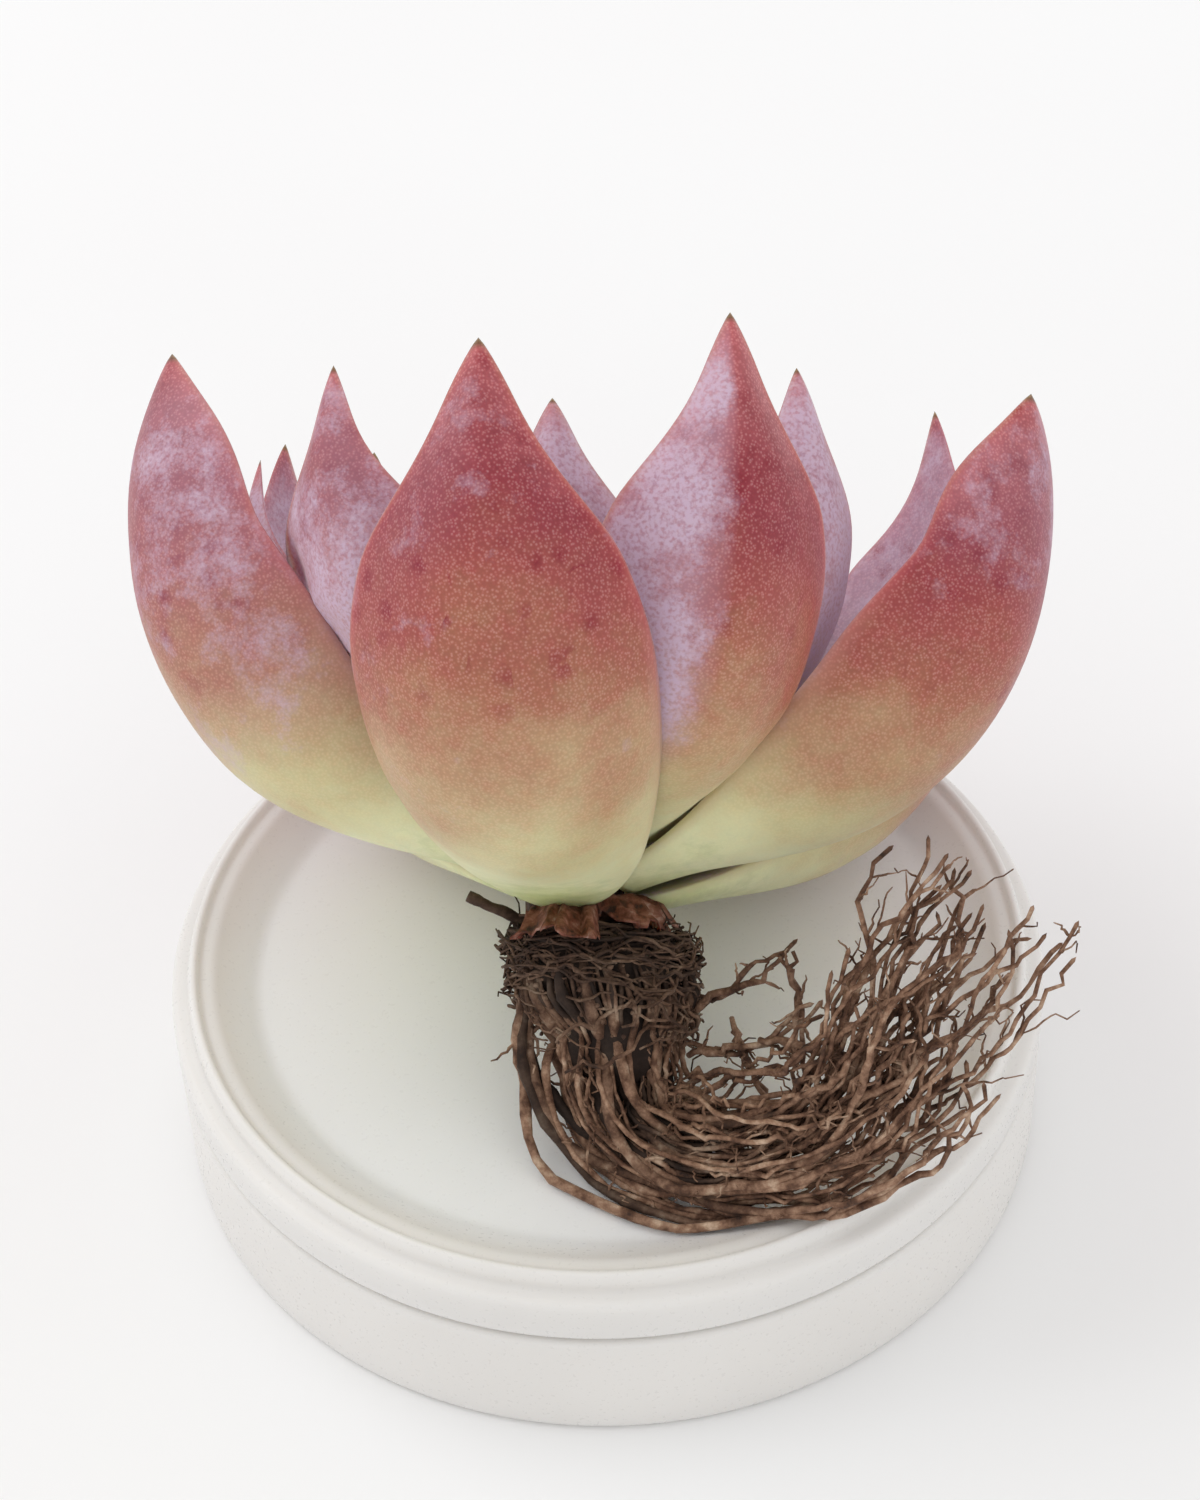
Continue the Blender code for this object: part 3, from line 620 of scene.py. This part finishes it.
def leaf_form(number):
    """The dimensions of a leaf by its number, from 0, the oldest and lowest, up to the youngest."""
    age = number / (LEAF_COUNT - 1)
    turn, foot_lean, tip_lean, twist, longer = ODD_LEAVES.get(number, (0, 0, 0, 0, 1))
    return {
        "turn": FIRST_TURN + TURN * number + math.radians(turn),
        "height": LEAF_RISE * number,
        "length": LEAF_LENGTH * mix(1.0, 0.20, age ** 1.4) * longer,
        "half_width": LEAF_HALF_WIDTH * mix(1.0, 0.25, age ** 1.3),
        "belly": LEAF_BELLY * mix(1.0, 0.35, age),
        "crown": LEAF_CROWN * mix(1.0, 0.40, age),
        "base_angle": math.radians(mix(17.7, 82, age ** 2.45) + foot_lean),
        "tip_angle": math.radians(93 + tip_lean),
        "twist": math.radians(twist),
        "cup": mix(0.26, 0.45, age),
    }


def leaf_outline(s):
    """Half width along the leaf, as a share of the widest."""
    if s < WIDEST:
        return mix(FOOT_SHARE, 1.0, math.sin(math.pi / 2 * s / WIDEST) ** 0.75)
    return max(math.cos(math.pi / 2 * (s - WIDEST) / (1 - WIDEST)), 0.0) ** 0.85


def leaf_depth(s):
    """Thickness along the leaf, as a share of the thickest."""
    if s < 0.42:
        return mix(0.34, 1.0, ease(s / 0.42))
    return (1 - ((s - 0.42) / 0.58) ** 2.0) ** 0.9


def leaf_midrib(form, steps=60):
    """Points and directions of the midrib in the leaf's own upright plane: out, up and angle."""
    out, up, line = 0.0, 0.0, []
    for i in range(steps + 1):
        bend = ease((i / steps - 0.14) / 0.86)
        angle = mix(form["base_angle"], form["tip_angle"], bend)
        line.append((out, up, angle))
        out += math.cos(angle) * form["length"] / steps
        up += math.sin(angle) * form["length"] / steps
    return line


def leaf_ring(form, line, s, sides, keel, waist):
    """Corners of one cross-section in the leaf's frame, and the way its upper face looks there.

    The keel sharpens the ridge under the leaf's upper half, and the waist draws the leaf in below
    its point.
    """
    at = s * (len(line) - 1)
    low = min(int(at), len(line) - 2)
    out, up, angle = (mix(line[low][k], line[low + 1][k], at - low) for k in range(3))
    twist = form["twist"] * ease(s / 0.6)
    flat = Vector((0, math.sin(angle), math.cos(angle)))
    across = Vector((math.cos(twist), 0, 0)) + flat * math.sin(twist)
    inwards = flat * math.cos(twist) - Vector((math.sin(twist), 0, 0))
    half = form["half_width"] * leaf_outline(s) * (1 - waist * ease((s - 0.72) / 0.20))
    belly, crown = form["belly"] * leaf_depth(s), form["crown"] * leaf_depth(s)
    ridge = mix(1.0, keel, ease((s - 0.40) / 0.45))
    ring = []
    for k in range(sides):
        t = 2 * math.pi * k / sides
        x = half * math.cos(t)
        lift = crown * math.sin(t) if math.sin(t) > 0 else -belly * (-math.sin(t)) ** ridge
        n = lift + form["cup"] * ease(s / 0.35) * x * x / form["half_width"]
        ring.append(Vector((0, -out, up)) + across * x + inwards * n)
    return ring, inwards


def leaf_stations(count):
    """Where along the leaf its cross-sections lie, closer together near the foot."""
    return [ease(i / count) * 0.35 + 0.65 * i / count for i in range(count)]


def is_inside(tree, point):
    """Whether a point is in a closed leaf, by how often a line up from it crosses the skin."""
    nearly_up = Vector((0.013, 0.029, 1))
    crossings = 0
    at = point
    while True:
        hit, _, _, _ = tree.ray_cast(at, nearly_up)
        if hit is None:
            return crossings % 2 == 1
        crossings += 1
        at = hit + nearly_up * 1e-6


def lift_clear(point, way, thick, older):
    """How far a point has to move to stand clear of the older leaves, in a leaf so thick."""
    moved = 0.0
    for tree in older:
        hit, _, _, reach = tree.ray_cast(point + way * thick, -way, thick)
        if hit is not None:
            moved = max(moved, thick - reach)
    while moved < PRESS_LIMIT:
        at = point + way * moved
        if not any(tree.find_nearest(at)[3] < PRESS_GAP or is_inside(tree, at) for tree in older):
            break
        moved += PRESS_STEP
    return moved


def first_lifts(rings, ways, place, older):
    """How far to lift each corner of a leaf's underside, ring by ring, from edge to edge."""
    turned = place.to_3x3()
    half = LEAF_SIDES // 2
    lifts = []
    for ring, way in zip(rings, ways):
        lifts.append([lift_clear(place @ ring[-k % LEAF_SIDES], turned @ way,
                                 (ring[k] - ring[-k % LEAF_SIDES]).length, older)
                      for k in range(half + 1)])
    last = len(rings) - 1
    return [[max(row[k], (lifts[max(i - 1, 0)][k] + lifts[min(i + 1, last)][k]) / 2)
             for k in range(half + 1)] for i, row in enumerate(lifts)]


def pressed_rings(rings, ways, lifts):
    """The rings with their underside lifted, and their upper face where the leaf gets too thin."""
    sides = len(rings[0])
    half = sides // 2
    pressed = []
    for ring, way, row in zip(rings, ways, lifts):
        points = [point.copy() for point in ring]
        for k in range(half + 1):
            under = -k % sides
            thick = (ring[k] - ring[under]).length
            points[under] += way * row[k]
            if k not in (0, half):
                points[k] += way * max(row[k] - thick + min(thick, LEAF_THINNEST), 0.0)
        pressed.append(points)
    return pressed


def plain_leaf(number, place, older):
    """Presses the plain form of a leaf off the older ones: its lifts, and its corners in place."""
    form = leaf_form(number)
    line = leaf_midrib(form)
    rings, ways = zip(*(leaf_ring(form, line, s, LEAF_SIDES, PLAIN_KEEL, 0)
                        for s in leaf_stations(LEAF_RINGS)))
    lifts = first_lifts(rings, ways, place, older)
    tip = Vector((0, -line[-1][0], line[-1][1]))
    for _ in range(PRESS_ROUNDS):
        mesh = loft(pressed_rings(rings, ways, lifts), end=tip)
        mesh.calc_loop_triangles()
        corners = [place @ vertex.co for vertex in mesh.vertices]
        faces = [tuple(triangle.vertices) for triangle in mesh.loop_triangles]
        spots = corners + [(corners[a] + corners[b]) / 2 for a, b in mesh.edge_keys]
        bpy.data.meshes.remove(mesh)
        skin = BVHTree.FromPolygons(corners, faces)
        crossed = {corner for leaf in older for face, _ in skin.overlap(leaf)
                   for corner in faces[face] if corner < len(rings) * LEAF_SIDES}
        if not crossed:
            break
        for i, k in {(c // LEAF_SIDES, min(c % LEAF_SIDES, -c % LEAF_SIDES)) for c in crossed}:
            lifts[i][k] += PRESS_STEP * 2
    older.append(skin)
    return lifts, spots


def lift_between(lifts, s, t):
    """The lift at a share of the length and a turn round the section, between the plain corners."""
    stations = leaf_stations(LEAF_RINGS) + [1.0]
    rows = lifts + [[0.0] * len(lifts[0])]
    i = max(k for k in range(LEAF_RINGS) if stations[k] <= s + 1e-9)
    down = ease((s - stations[i]) / (stations[i + 1] - stations[i]))
    at = t / (math.pi / (LEAF_SIDES // 2))
    k = min(int(at), LEAF_SIDES // 2 - 1)
    return mix(mix(rows[i][k], rows[i][k + 1], at - k),
               mix(rows[i + 1][k], rows[i + 1][k + 1], at - k), down)


def leaf_place(number):
    """A leaf's frame in the plant's frame."""
    form = leaf_form(number)
    return (Matrix.Rotation(form["turn"], 4, "Z")
            @ Matrix.Translation((0, -stem_radius(form["height"]) - GAP, form["height"])))


def make_leaf(number, lifts, place, finish):
    """One leaf, finely modelled, with where each point lies on it kept for the finish."""
    form = leaf_form(number)
    line = leaf_midrib(form)
    age = number / (LEAF_COUNT - 1)
    stations = leaf_stations(FINE_RINGS) + [DRY_POINT]
    waist = WAISTS.get(number, WAIST)
    rings, ways = zip(*(leaf_ring(form, line, s, FINE_SIDES, FINE_KEEL, waist)
                        for s in stations))
    half = FINE_SIDES // 2
    fine = [[lift_between(lifts, s, math.pi * k / half) for k in range(half + 1)]
            for s in stations]
    rings = pressed_rings(rings, ways, fine)
    for s, ring, way in zip(stations, rings, ways):
        calm = ease(s / 0.2) * ease((1 - s) / 0.15)
        for point in ring:
            wave = noise.noise(point / SKIN_WAVE_EVERY + Vector((number * 7.1, 0, 0)))
            point += way * wave * SKIN_WAVE * calm
    mesh = loft(rings, end=Vector((0, -line[-1][0], line[-1][1])))
    thick, sideways, upwards = POWDER.get(number, (mix(0.45, 0.75, age), 0.0, 0.1))
    along, across, inner, powder = [], [], [], []
    for s in stations:
        for k in range(FINE_SIDES):
            t = 2 * math.pi * k / FINE_SIDES
            face = ease(math.sin(t) * 2 + 0.5)
            aside = min(max(math.cos(t) * 2.5, -1.0), 1.0)
            outside = thick + sideways * aside + upwards * ease((s - 0.55) / 0.3)
            along.append(s)
            across.append(math.cos(t))
            inner.append(face)
            powder.append(mix(outside * ease((s - 0.22) / 0.3), 0.55, face)
                          * (1 - 0.6 * ease((s - 0.9) / 0.1)))
    mark(mesh, along=along + [1.0], across=across + [0.0], inner=inner + [0.5],
         powder=powder + [0.0], sunlit=SUNLIT.get(number, 0.0), seed=number * 0.37)
    add(f"succulent_leaf_{number + 1:02d}", mesh, finish,
        [f"leaf_{number + 1:02d}"], place)


def make_bud(place, finish):
    """The closed heart of the rosette."""
    rings, along = [], []
    sides, foot = 24, stem_top() + GAP
    for i in range(16):
        share = i / 16
        width = BUD_RADIUS * (0.75 + 0.5 * share) * math.sqrt(1 - share ** 2.2)
        at = Vector((0, 0, foot + BUD_LENGTH * share))
        ring = circle(at, Vector((width, 0, 0)), Vector((0, width, 0)), sides)
        rings.append([mix(at, point, 1 + 0.10 * math.cos(6 * math.pi * k / sides + share * 2.5))
                      for k, point in enumerate(ring)])
        along += [0.4 + 0.58 * share] * sides
    mesh = loft(rings, end=Vector((0, 0, foot + BUD_LENGTH)))
    mark(mesh, along=along + [1.0], across=0.0, inner=0.3, powder=0.6, sunlit=0.0, seed=9.1)
    add("heart_bud", mesh, finish, ["bud"], place)


def plant_place(spots):
    """The plant's frame in the object's frame, let down until its leaves rest on the lid."""
    leaned = (Matrix.Translation((SEAT_ASIDE, SEAT_BACK, 0))
              @ Matrix.Rotation(LEAN_SIDE, 4, "Y") @ Matrix.Rotation(-LEAN_BACK, 4, "X"))
    crown_end = leaned @ Vector((CROWN_LEVELS[-1][1], 0, CROWN_LEVELS[-1][0]))
    rise = max(max(lid_height(leaned @ spot) + GAP - (leaned @ spot).z for spot in spots),
               DISC_HEIGHT + CROWN_CLEARANCE - crown_end.z)
    return Matrix.Translation((0, 0, rise)) @ leaned


# ---------------------------------------------------------------- roots
def bundle_line(place):
    """Middle of the bundle from the crown's end to the tips, and half its breadth and depth."""
    bottom, aside, _ = CROWN_LEVELS[-1]
    above = Vector((0, 0, DISC_HEIGHT))
    middle = [place @ Vector((aside, 0, bottom))] + [above + level[0] for level in BUNDLE]
    sizes = [Vector((*BUNDLE_START, 0))] + [Vector((*level[1:], 0)) for level in BUNDLE]
    return middle, sizes


def strand_path(a, b, reach, place, rng, steps=38):
    """The line of one root down the crown and along the bundle, at its place in both."""
    bottom, aside, half = CROWN_LEVELS[-1]
    crown = []
    for number, (height, offset, wide) in enumerate(CROWN_LEVELS[:-1]):
        spread = wide * (0.66, 0.74, 0.84, 0.94)[number] / max(math.hypot(a, b), 0.4)
        crown.append(place @ Vector((offset - a * spread, -b * spread * CROWN_FLATNESS, height)))
    middle, sizes = bundle_line(place)
    start = place @ Vector((aside - a * half * 0.85, -b * half * CROWN_FLATNESS * 0.75, bottom))
    down = place.to_3x3() @ Vector((0, 0, -1))
    phase = Vector([rng.uniform(0, 50) for _ in range(3)])
    run = []
    for i in range(steps + 1):
        share = reach * i / steps
        here = smooth_path(middle, share)
        ahead = smooth_path(middle, min(share + 0.02, 1.0))
        back = smooth_path(middle, max(share - 0.02, 0.0))
        across = (ahead - back).cross(BUNDLE_FACES).normalized()
        size = smooth_path(sizes, share)
        drift = noise.noise_vector(phase + Vector((share * 3.0, 0, 0))) * 1.05
        even = here + across * size.x * (a + drift.x) + BUNDLE_FACES * size.y * (b + drift.y)
        run.append((start + down * share * 0.034).lerp(even, ease(share / 0.22)))
    whole = [smooth_path(crown + [run[0]], i / 10) for i in range(10)] + run
    for i, point in enumerate(whole):
        looser = mix(0.5, 1.0, ease((i / len(whole) - 0.45) / 0.5))
        stray = noise.noise_vector(phase + Vector((i * 0.22, 0, 0))) * 0.0010 * looser
        kinks = noise.noise_vector(phase * 2 + Vector((i * 1.1, 5, 0))) * 0.00055 * looser ** 2
        point += stray + kinks
    return whole


def keep_off_lid(path, radius):
    """Raises a path's points so that a root of that radius lies on the lid, inside the edge."""
    for point in path:
        point.x = min(point.x, TUB_RADIUS - ROOTS_INSIDE)
        if math.hypot(point.x, point.y) < TUB_RADIUS + 0.001:
            point.z = max(point.z, lid_height(point) + radius + 0.0001)


def add_strand(bm, path, radius, tip_radius, sides, deep, rng, shade_and_soil_darkness):
    """Adds a knobbly tapering root to a mesh, and how dark it is painted, mostly as shade, to a
    list.
    """
    phase = rng.uniform(0, 80)
    last = len(path) - 1
    rings = []
    for i, point in enumerate(path):
        along = (path[min(i + 1, last)] - path[max(i - 1, 0)]).normalized()
        across = along.cross(BUNDLE_FACES + Vector((0.013, 0, 0))).normalized()
        knobs = 1 + 0.40 * noise.noise(Vector((phase, i * 0.6, 0)))
        thick = mix(radius, tip_radius, (i / last) ** 1.2) * knobs * mix(0.6, 1, ease(i / last * 4))
        rings.append(circle(point, across * thick, along.cross(across) * thick, sides))
    loft_into(bm, rings, end=path[-1] + (path[-1] - path[-2]).normalized() * tip_radius * 2)
    for i in range(len(rings)):
        shade_and_soil_darkness += [deep(i / last)] * sides
    shade_and_soil_darkness.append(deep(1.0))


def add_hair(bm, root, at, length, rng, shade_and_soil_darkness):
    """Adds a fine crooked hair that leaves a root at one of its points."""
    along = (root[at + 1] - root[at - 1]).normalized()
    out = Vector((rng.uniform(-1, 1), rng.uniform(-1, 1), rng.uniform(-0.6, 1))).normalized()
    way = (along * rng.uniform(0.5, 1.4) + out).normalized()
    phase = Vector((rng.uniform(0, 60), 3, 8))
    hair = [root[at] + way * length * k / 7
            + noise.noise_vector(phase + Vector((k * 0.6, 0, 0))) * length * 0.30 * k / 7
            for k in range(8)]
    keep_off_lid(hair, 0.0001)
    add_strand(bm, hair, rng.uniform(*HAIR), HAIR_TIP, 5, lambda share: 0.15, rng, shade_and_soil_darkness)


def make_roots(place, finish):
    """The root system: strands down the crown that run on as the bundle, and their hairs."""
    rng = random.Random(7)
    bm = bmesh.new()
    shade_and_soil_darkness = []
    for i in range(STRANDS):
        turn = i * GOLDEN_TURN
        out = math.sqrt((i + 0.5) / STRANDS)
        a, b = out * math.cos(turn), out * math.sin(turn)
        thick = rng.uniform(*(THICK_STRAND if i % 6 == 0 else THIN_STRAND))
        reach = rng.uniform(0.80, 0.99) if i % 4 == 0 else rng.uniform(0.30, 0.78)
        # a few hang loose outside the bundle and end early
        if i % 28 == 5:
            a, b, thick, reach = rng.uniform(1.25, 1.5), 0.1, rng.uniform(0.0003, 0.0005), 0.64
        path = strand_path(a, b, reach, place, rng)
        keep_off_lid(path, thick)
        # painted shade: strands in the middle of the bundle are darker, and every strand is darker
        # near the top of the crown, under the leaves
        painted_inner_shade = 0.85 * (1 - ease((out - 0.50) / 0.4)) + rng.uniform(0, 0.1)
        add_strand(bm, path, thick, STRAND_TIP, 7,
                   lambda share: max(painted_inner_shade * (1 - ease((share - 0.4) / 0.3)),
                                     0.60 * (1 - ease((share - 0.08) / 0.2))), rng, shade_and_soil_darkness)
        for _ in range(3):
            add_hair(bm, path, rng.randrange(10, 36), rng.uniform(0.0008, 0.0024), rng, shade_and_soil_darkness)
        for _ in range(5 if i % 4 == 0 else 1):
            add_hair(bm, path, rng.randrange(30, len(path) - 1), rng.uniform(0.0012, 0.0036), rng,
                     shade_and_soil_darkness)
    for points in SIDE_ROOTS + CROSSING_ROOTS:
        for _ in range(2):
            line = [point + Vector([rng.uniform(-0.0005, 0.0005) for _ in range(3)])
                    for point in points]
            phase = Vector((rng.uniform(0, 40), 0, 0))
            path = [smooth_path(line, k / 16) + Vector((0, 0, DISC_HEIGHT))
                    + noise.noise_vector(phase + Vector((k * 0.7, 0, 0))) * 0.0005
                    for k in range(17)]
            keep_off_lid(path, 0.0003)
            add_strand(bm, path, rng.uniform(0.00018, 0.00032), 0.00012, 6,
                       lambda share: 0.2, rng, shade_and_soil_darkness)
            for _ in range(5):
                add_hair(bm, path, rng.randrange(2, 15), rng.uniform(0.0008, 0.0022), rng, shade_and_soil_darkness)
    mesh = finished(bm, "root_strands")
    mark(mesh, deep=shade_and_soil_darkness)
    add("root_strands", mesh, finish, [f"root_{n:02d}" for n in range(1, 15)])


def crown_level(share):
    """Height, offset and half width of the crown a share of the way down it."""
    return smooth_path([Vector(level) for level in CROWN_LEVELS], share)


def make_clump(place, finish):
    """The core of the crown, painted nearly black as shade, wound round with old roots and crumbs
    of soil.
    """
    rng = random.Random(11)
    bm = bmesh.new()
    rings, shade_and_soil_darkness = [], []
    sides = 48
    for i in range(24):
        height, aside, half = crown_level(i / 23)
        slim = half * mix(0.98, 0.74, i / 23)
        ring = circle(Vector((aside, 0, height)), Vector((slim, 0, 0)),
                      Vector((0, slim * CROWN_FLATNESS, 0)), sides)
        for point in ring:
            rough = 1 + 0.12 * noise.fractal(point * 600, 1.0, 2.0, 4)
            point.x = mix(aside, point.x, rough)
            point.y *= rough
        rings.append(ring)
    height, aside, half = CROWN_LEVELS[-1]
    for i in range(1, 6):
        down = math.sin(math.pi / 2 * i / 6)
        close = math.cos(math.pi / 2 * i / 6)
        rings.append([Vector((mix(aside, point.x, close), point.y * close, point.z - 0.0032 * down))
                      for point in rings[23]])
    loft_into(bm, rings, end=Vector((aside, 0, height - 0.0033)))
    # painted shade: the core, deep among the roots, is nearly black
    shade_and_soil_darkness += [0.95] * (len(rings) * sides + 1)
    for _ in range(WRAPS):
        share = rng.uniform(0.0, 0.97) ** 1.2
        turn, sweep = rng.uniform(0, 2 * math.pi), rng.uniform(0.8, 3.0)
        slope = rng.gauss(0, mix(0.0004, 0.0022, share))
        phase = Vector((rng.uniform(0, 60), 0, 0))
        path = []
        for k in range(24):
            height, aside, half = crown_level(min(max(share, 0.02), 0.98))
            angle = turn + sweep * k / 23
            point = Vector((aside + half * math.cos(angle),
                            half * CROWN_FLATNESS * math.sin(angle),
                            height + slope * (k / 23 - 0.5) * 2))
            path.append(point + noise.noise_vector(phase + Vector((k * 0.4, 0, 0))) * 0.0008)
        shadow = mix(1.0, 0.50, share) + rng.uniform(-0.25, 0.0)
        add_strand(bm, path, rng.uniform(*WRAP), WRAP_TIP, 6,
                   lambda share: shadow, rng, shade_and_soil_darkness)
    for _ in range(CRUMBS):
        height, aside, half = crown_level(rng.uniform(0.0, 1.0))
        angle = rng.uniform(0, 2 * math.pi)
        at = Vector((aside + half * 0.96 * math.cos(angle),
                     half * 0.96 * CROWN_FLATNESS * math.sin(angle), height))
        size = rng.uniform(*CRUMB)
        crumb = bmesh.ops.create_icosphere(bm, subdivisions=1, radius=size,
                                           matrix=Matrix.Translation(at))
        for vert in crumb["verts"]:
            vert.co += noise.noise_vector(vert.co * 6000) * size * 0.5
        shade_and_soil_darkness += [0.55] * len(crumb["verts"])
    mesh = finished(bm, "root_clump")
    mark(mesh, deep=shade_and_soil_darkness)
    add("root_clump", mesh, finish, ["root_crown"], place)


# ---------------------------------------------------------------- dry remains round the neck
def make_flake(number, turn, half_arc, reach, height, place, finish):
    """A thin crinkled flake of a fallen leaf that stands out from the neck."""
    rings = []
    steps, thin = 24, 0.00014
    inner = STEM_RADIUS + GAP
    for i in range(steps + 1):
        share = i / steps * 2 - 1
        angle = math.radians(turn + half_arc * share)
        out = Vector((math.sin(angle), -math.cos(angle), 0))
        frayed = 1 + 0.5 * noise.fractal(Vector((i * 0.23, number * 3.1, 0)), 0.7, 2.0, 3)
        far = mix(reach, inner, share ** 2 * 0.6) * frayed
        top = []
        for k in range(7):
            crinkle = 0.0010 * noise.fractal(Vector((i * 0.2, k * 0.3, number * 2.3)), 0.8, 2.0, 3)
            crinkle *= k / 6
            curl = 0.0017 * (k / 6) ** 2
            top.append(out * mix(inner, far, k / 6) + Vector((0, 0, height + crinkle - curl)))
        rings.append(top + [point - Vector((0, 0, thin)) for point in reversed(top)])
    add(f"dry_leaf_base_{number}", loft(rings), finish, [f"flake_{number}"], place)


def make_stub(place, finish):
    """The dry stub at the neck's side."""
    along = (STALK_TO - STALK_FROM).normalized()
    across = along.cross(Vector((0, 1, 0))).normalized()
    rings = []
    for i in range(14):
        thick = STALK_RADIUS * (1 + 0.35 * noise.noise(Vector((i * 0.7, 1.3, 0))))
        sway = noise.noise_vector(Vector((i * 0.25, 7, 0))) * 0.00012
        rings.append(circle(mix(STALK_FROM, STALK_TO, i / 10 - 0.3) + sway, across * thick,
                            along.cross(across) * thick, 10))
    mesh = loft(rings)
    mark(mesh, deep=0.75)
    add("dry_stub", mesh, finish, ["dry_stalk"], place)


# ---------------------------------------------------------------- the scene around the object
def make_stage():
    """A wide pale floor under even light, with a soft lamp at the back on the left."""
    bm = bmesh.new()
    bmesh.ops.create_grid(bm, x_segments=1, y_segments=1, size=FLOOR_HALF_SIZE)
    floor = bpy.data.objects.new("floor", finished(bm, "floor"))
    bpy.context.scene.collection.objects.link(floor)
    floor.data.materials.append(matt_board())

    world = bpy.data.worlds.new("studio")
    world.use_nodes = True
    background = world.node_tree.nodes["Background"]
    background.inputs["Color"].default_value = colour("#ffffff")
    background.inputs["Strength"].default_value = SKY_STRENGTH
    bpy.context.scene.world = world

    light = bpy.data.lights.new("window", "AREA")
    light.size = LAMP_SIZE
    light.energy = LAMP_POWER
    lamp = bpy.data.objects.new("window", light)
    lamp.location = LAMP_PLACE
    lamp.rotation_euler = (-lamp.location).to_track_quat("-Z", "Y").to_euler()
    bpy.context.scene.collection.objects.link(lamp)
    bpy.context.scene.view_settings.view_transform = "Standard"


def make_camera():
    """A long lens that looks down on the front at 44 degrees."""
    data = bpy.data.cameras.new("camera")
    data.lens = CAMERA_LENS
    camera = bpy.data.objects.new("camera", data)
    bpy.context.scene.collection.objects.link(camera)
    up = Vector((0, math.sin(CAMERA_DOWN), math.cos(CAMERA_DOWN)))
    away = Vector((0, -math.cos(CAMERA_DOWN), math.sin(CAMERA_DOWN)))
    across = Vector((math.cos(CAMERA_ROLL), 0, 0)) - up * math.sin(CAMERA_ROLL)
    upright = Vector((math.sin(CAMERA_ROLL), 0, 0)) + up * math.cos(CAMERA_ROLL)
    turned = Matrix((across, upright, away)).transposed().to_4x4()
    camera.matrix_world = Matrix.Translation(CAMERA_PLACE) @ turned
    bpy.context.scene.camera = camera


def main():
    noise.seed_set(NOISE_SEED)
    leaf, root, papery = living_leaf(), dry_root(), papery_leaf()
    milky = milky_polypropylene()
    make_tub(milky)
    make_lid(milky)
    older, pressed, spots = [], [], []
    for number in range(LEAF_COUNT):
        lifts, corners = plain_leaf(number, leaf_place(number), older)
        pressed.append(lifts)
        spots += corners
    place = plant_place(spots)
    for number, lifts in enumerate(pressed):
        make_leaf(number, lifts, place @ leaf_place(number), leaf)
    make_bud(place, leaf)
    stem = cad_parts["stem"]
    stem.data.materials.clear()
    stem.data.materials.append(neck_bark())
    make_clump(place, root)
    make_roots(place, root)
    for number, (turn, half_arc, reach, height) in enumerate(FLAKES, start=1):
        make_flake(number, turn, half_arc, reach, height, place, papery)
    make_stub(place, root)
    make_stage()
    make_camera()


main()
